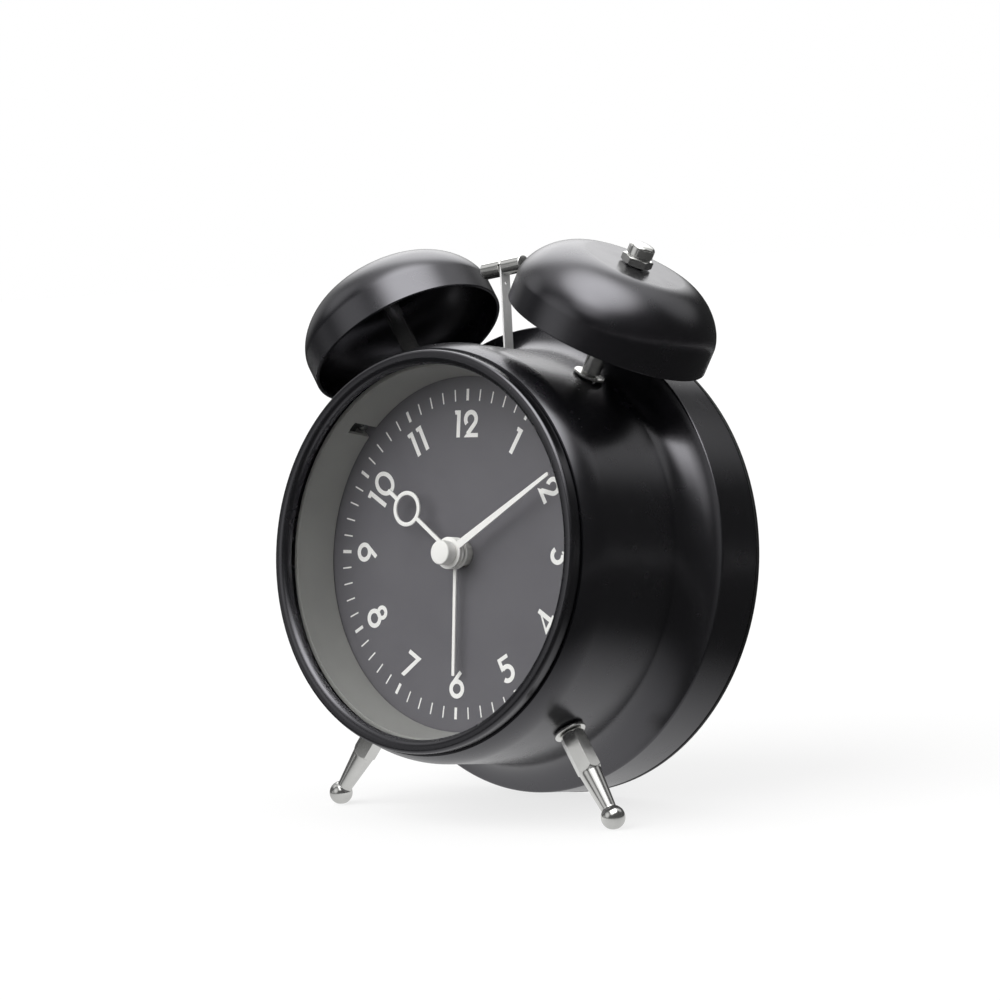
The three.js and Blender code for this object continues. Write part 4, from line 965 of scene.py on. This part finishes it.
THREAD, THREAD_END, SCREW_HEAD = 1.2, 35.8, 2.8
CROSS, CROSS_HALF, CROSS_DEEP = 1.6, 0.35, 0.9
for number, angle in enumerate(SCREW_ANGLES, 1):
    local = turned_y(angle) @ Matrix.Translation((0, 0, SCREW_CIRCLE))
    seat = COVER_BACK + SEAT
    top = seat + 1.5
    screw = revolve(f"screw_{number}", soften([
        (0, THREAD_END), (THREAD, THREAD_END, 0.3), (THREAD, seat), (SCREW_HEAD, seat, 0.1),
        (SCREW_HEAD, top - 0.8, 0.7), (2.0, top, 0.7), (0, top),
    ], 0.1), "Y", local, 48)
    for x, z in ((CROSS, CROSS_HALF), (CROSS_HALF, CROSS)):
        cut(screw, block("tool", -x, x, top - CROSS_DEEP, top + 1, -z, z, local))
    piece(shaded(screw), f"rear_screw_{number}", "steel")

# ---------------------------------------------------------------- the other nodes

# Every CAD mesh gets its finish too. Those that no piece above stands for are shown as they are.
for part in frame["record"]["subparts"]:
    node = frame["nodes"][part["node"]]
    finish = FINISHES[part["material_slot"]].material
    for held in node.material_slots:
        held.material = finish

# ---------------------------------------------------------------- set

FLOOR = 60.0  # metres from the middle to each side
FLOOR_COLOUR, FLOOR_LIFT = (0.95, 0.95, 0.945, 1), 0.75
WHITE = (1, 1, 1, 1)
SOFT = 0.7  # the world's light on the object


def emission(name, strength):
    """A material that only shines, as strongly as the nodes that the function strength adds say."""
    material = bpy.data.materials.new(name)
    tree = emptied(material)
    glow = add_node(tree, "Emission", {"Strength": strength(tree)})
    add_node(tree, "OutputMaterial", {0: glow.outputs[0]})
    return material


def set_piece(name, mesh, material, height=0.0):
    """An object of the set, at its height over the ground."""
    made = bpy.data.objects.new(name, mesh)
    made.location = (0, 0, height)
    bpy.context.scene.collection.objects.link(made)
    mesh.materials.append(material)
    return made


def seen_directly(tree):
    """1 for what the camera sees, and metal and glass with it; 0 for the light on other surfaces."""
    path = add_node(tree, "LightPath")
    total = path.outputs["Is Camera Ray"]
    for other in ("Is Glossy Ray", "Is Transmission Ray"):
        either = add_node(tree, "Math", {0: total, 1: path.outputs[other]}, operation="MAXIMUM")
        total = either.outputs[0]
    return total


paper = bpy.data.materials.new("white floor")
tree = emptied(paper)
matt = add_node(tree, "BsdfDiffuse", {"Color": FLOOR_COLOUR})
lift = add_node(tree, "Emission", {"Color": WHITE, "Strength": seen_directly(tree)})
both = add_node(tree, "MixShader", {0: FLOOR_LIFT, 1: matt.outputs[0], 2: lift.outputs[0]})
add_node(tree, "OutputMaterial", {0: both.outputs[0]})
floor_mesh = bpy.data.meshes.new("floor")
corners = [(-FLOOR, -FLOOR, 0), (FLOOR, -FLOOR, 0), (FLOOR, FLOOR, 0), (-FLOOR, FLOOR, 0)]
floor_mesh.from_pydata(corners, [], [(0, 1, 2, 3)])
floor = set_piece("floor", floor_mesh, paper)

world = bpy.data.worlds.new("studio")
bpy.context.scene.world = world
tree = emptied(world)
soft = add_node(tree, "Background", {"Color": WHITE, "Strength": SOFT})
white = add_node(tree, "Background", {"Color": WHITE, "Strength": 1.0})
choose = add_node(tree, "MixShader", {0: seen_directly(tree), 1: soft.outputs[0], 2: white.outputs[0]})
add_node(tree, "OutputWorld", {0: choose.outputs[0]})


def sun(name, way, strength, spread):
    """Even soft light from a wide panel far away, in the direction that it comes from."""
    light = bpy.data.lights.new(name, "SUN")
    light.energy = strength
    light.angle = math.radians(spread)
    made = bpy.data.objects.new(name, light)
    made.rotation_euler = way.to_track_quat("Z", "Y").to_euler()
    made.visible_glossy = False
    bpy.context.scene.collection.objects.link(made)


def direction(azimuth, height):
    """A direction given clockwise from straight behind the clock, and above the horizon."""
    a, h = math.radians(azimuth), math.radians(height)
    return Vector((math.cos(h) * math.sin(a), math.cos(h) * math.cos(a), math.sin(h)))


sun("key", direction(-158, 40), 2.3, 60)
sun("overhead", direction(56, 80), 0.2, 80)

# What polished and satin surfaces reflect: a bright table in a dark room with soft panels round it.
# Each panel has a direction, the angles at which it begins and ends to fade, and its brightness.
# Only reflections see the room and the table.
ROOM, ROOM_HEIGHT = 0.75, 0.06
DARK = 0.045
PANELS = [
    (direction(122, 68), 8, 36, 3.3),
    (direction(150, 42), 4, 22, 1.1),
    (direction(0, 88), 10, 50, 0.8),
    (direction(-38, 45), 8, 34, 2.4),
    (direction(-72, 28), 8, 28, 0.35),
    (direction(30, 40), 6, 24, 0.5),
    (direction(-162, 20), 6, 30, 0.6),
    (direction(-112, 38), 5, 19, 0.6),
    (direction(-128, -6), 6, 20, 0.3),
]
TABLE_NEAR, TABLE_FAR, TABLE_BRIGHT = 0.02, 0.12, 0.75
TABLE_HEIGHT = 0.0003


def room_light(tree):
    """The dark wall, with a smooth spot in the direction of each panel."""
    spot = add_node(tree, "TexCoord").outputs["Object"]
    unit = add_node(tree, "VectorMath", {0: spot}, operation="NORMALIZE").outputs[0]
    level = DARK
    for way, inner, outer, bright in PANELS:
        facing = add_node(tree, "VectorMath", {0: unit, 1: way}, operation="DOT_PRODUCT")
        fade = add_node(tree, "MapRange", {
            "Value": facing.outputs["Value"],
            "From Min": math.cos(math.radians(outer)),
            "From Max": math.cos(math.radians(inner)),
            "To Max": bright,
        }, interpolation_type="SMOOTHSTEP")
        level = add_node(tree, "Math", {0: level, 1: fade.outputs[0]}, operation="ADD").outputs[0]
    return level


def table_light(tree):
    """Bright under the clock, and dark further out."""
    spot = add_node(tree, "TexCoord").outputs["Object"]
    away = add_node(tree, "VectorMath", {0: spot}, operation="LENGTH")
    return add_node(tree, "MapRange", {
        "Value": away.outputs["Value"],
        "From Min": TABLE_NEAR,
        "From Max": TABLE_FAR,
        "To Min": TABLE_BRIGHT,
        "To Max": DARK,
    }, interpolation_type="SMOOTHSTEP").outputs[0]


room_mesh = bpy.data.meshes.new("room")
work = bmesh.new()
bmesh.ops.create_uvsphere(work, u_segments=64, v_segments=32, radius=ROOM)
work.to_mesh(room_mesh)
work.free()
room = set_piece("room", room_mesh, emission("dark room with soft panels", room_light), ROOM_HEIGHT)

table_mesh = bpy.data.meshes.new("table")
work = bmesh.new()
bmesh.ops.create_circle(work, cap_ends=True, segments=64, radius=ROOM * 0.9)
work.to_mesh(table_mesh)
work.free()
table = set_piece("table", table_mesh, emission("bright table", table_light), TABLE_HEIGHT)
for shown in (room, table):
    shown.visible_camera = False
    shown.visible_diffuse = False
    shown.visible_shadow = False
    shown.visible_transmission = False

# ---------------------------------------------------------------- camera

# Solved from the dial's sixty marks: angles about the dial, in degrees, and where the dial's centre
# lies from the eye, to the right, down and ahead, in radii of the marks' circle.
MARK_CIRCLE = 40.0
az, el, roll = (math.radians(v) for v in (41.509, -2.227, 2.147))
reach = Vector((-0.239, 0.336, 19.379))
FOCAL, SENSOR = 3.097711, 36.0  # focal length in widths of the picture, and that width in millimetres
back = Vector((math.sin(az) * math.cos(el), -math.cos(az) * math.cos(el), math.sin(el)))
right = (-back).cross(Vector((0, 0, 1))).normalized()
up = right.cross(-back)
right, up = math.cos(roll) * right + math.sin(roll) * up, -math.sin(roll) * right + math.cos(roll) * up
eye = -(reach.x * right - reach.y * up - reach.z * back) * MARK_CIRCLE
cam = bpy.data.cameras.new("camera")
cam.sensor_width = SENSOR
cam.lens = FOCAL * SENSOR
cam.clip_start = 0.05
viewer = bpy.data.objects.new("camera", cam)
bpy.context.scene.collection.objects.link(viewer)
stance = Matrix((right, up, back)).transposed().to_4x4()
viewer.matrix_world = DIAL @ Matrix.Translation(eye * SCALE) @ stance
bpy.context.scene.camera = viewer
bpy.context.scene.view_settings.view_transform = "Standard"
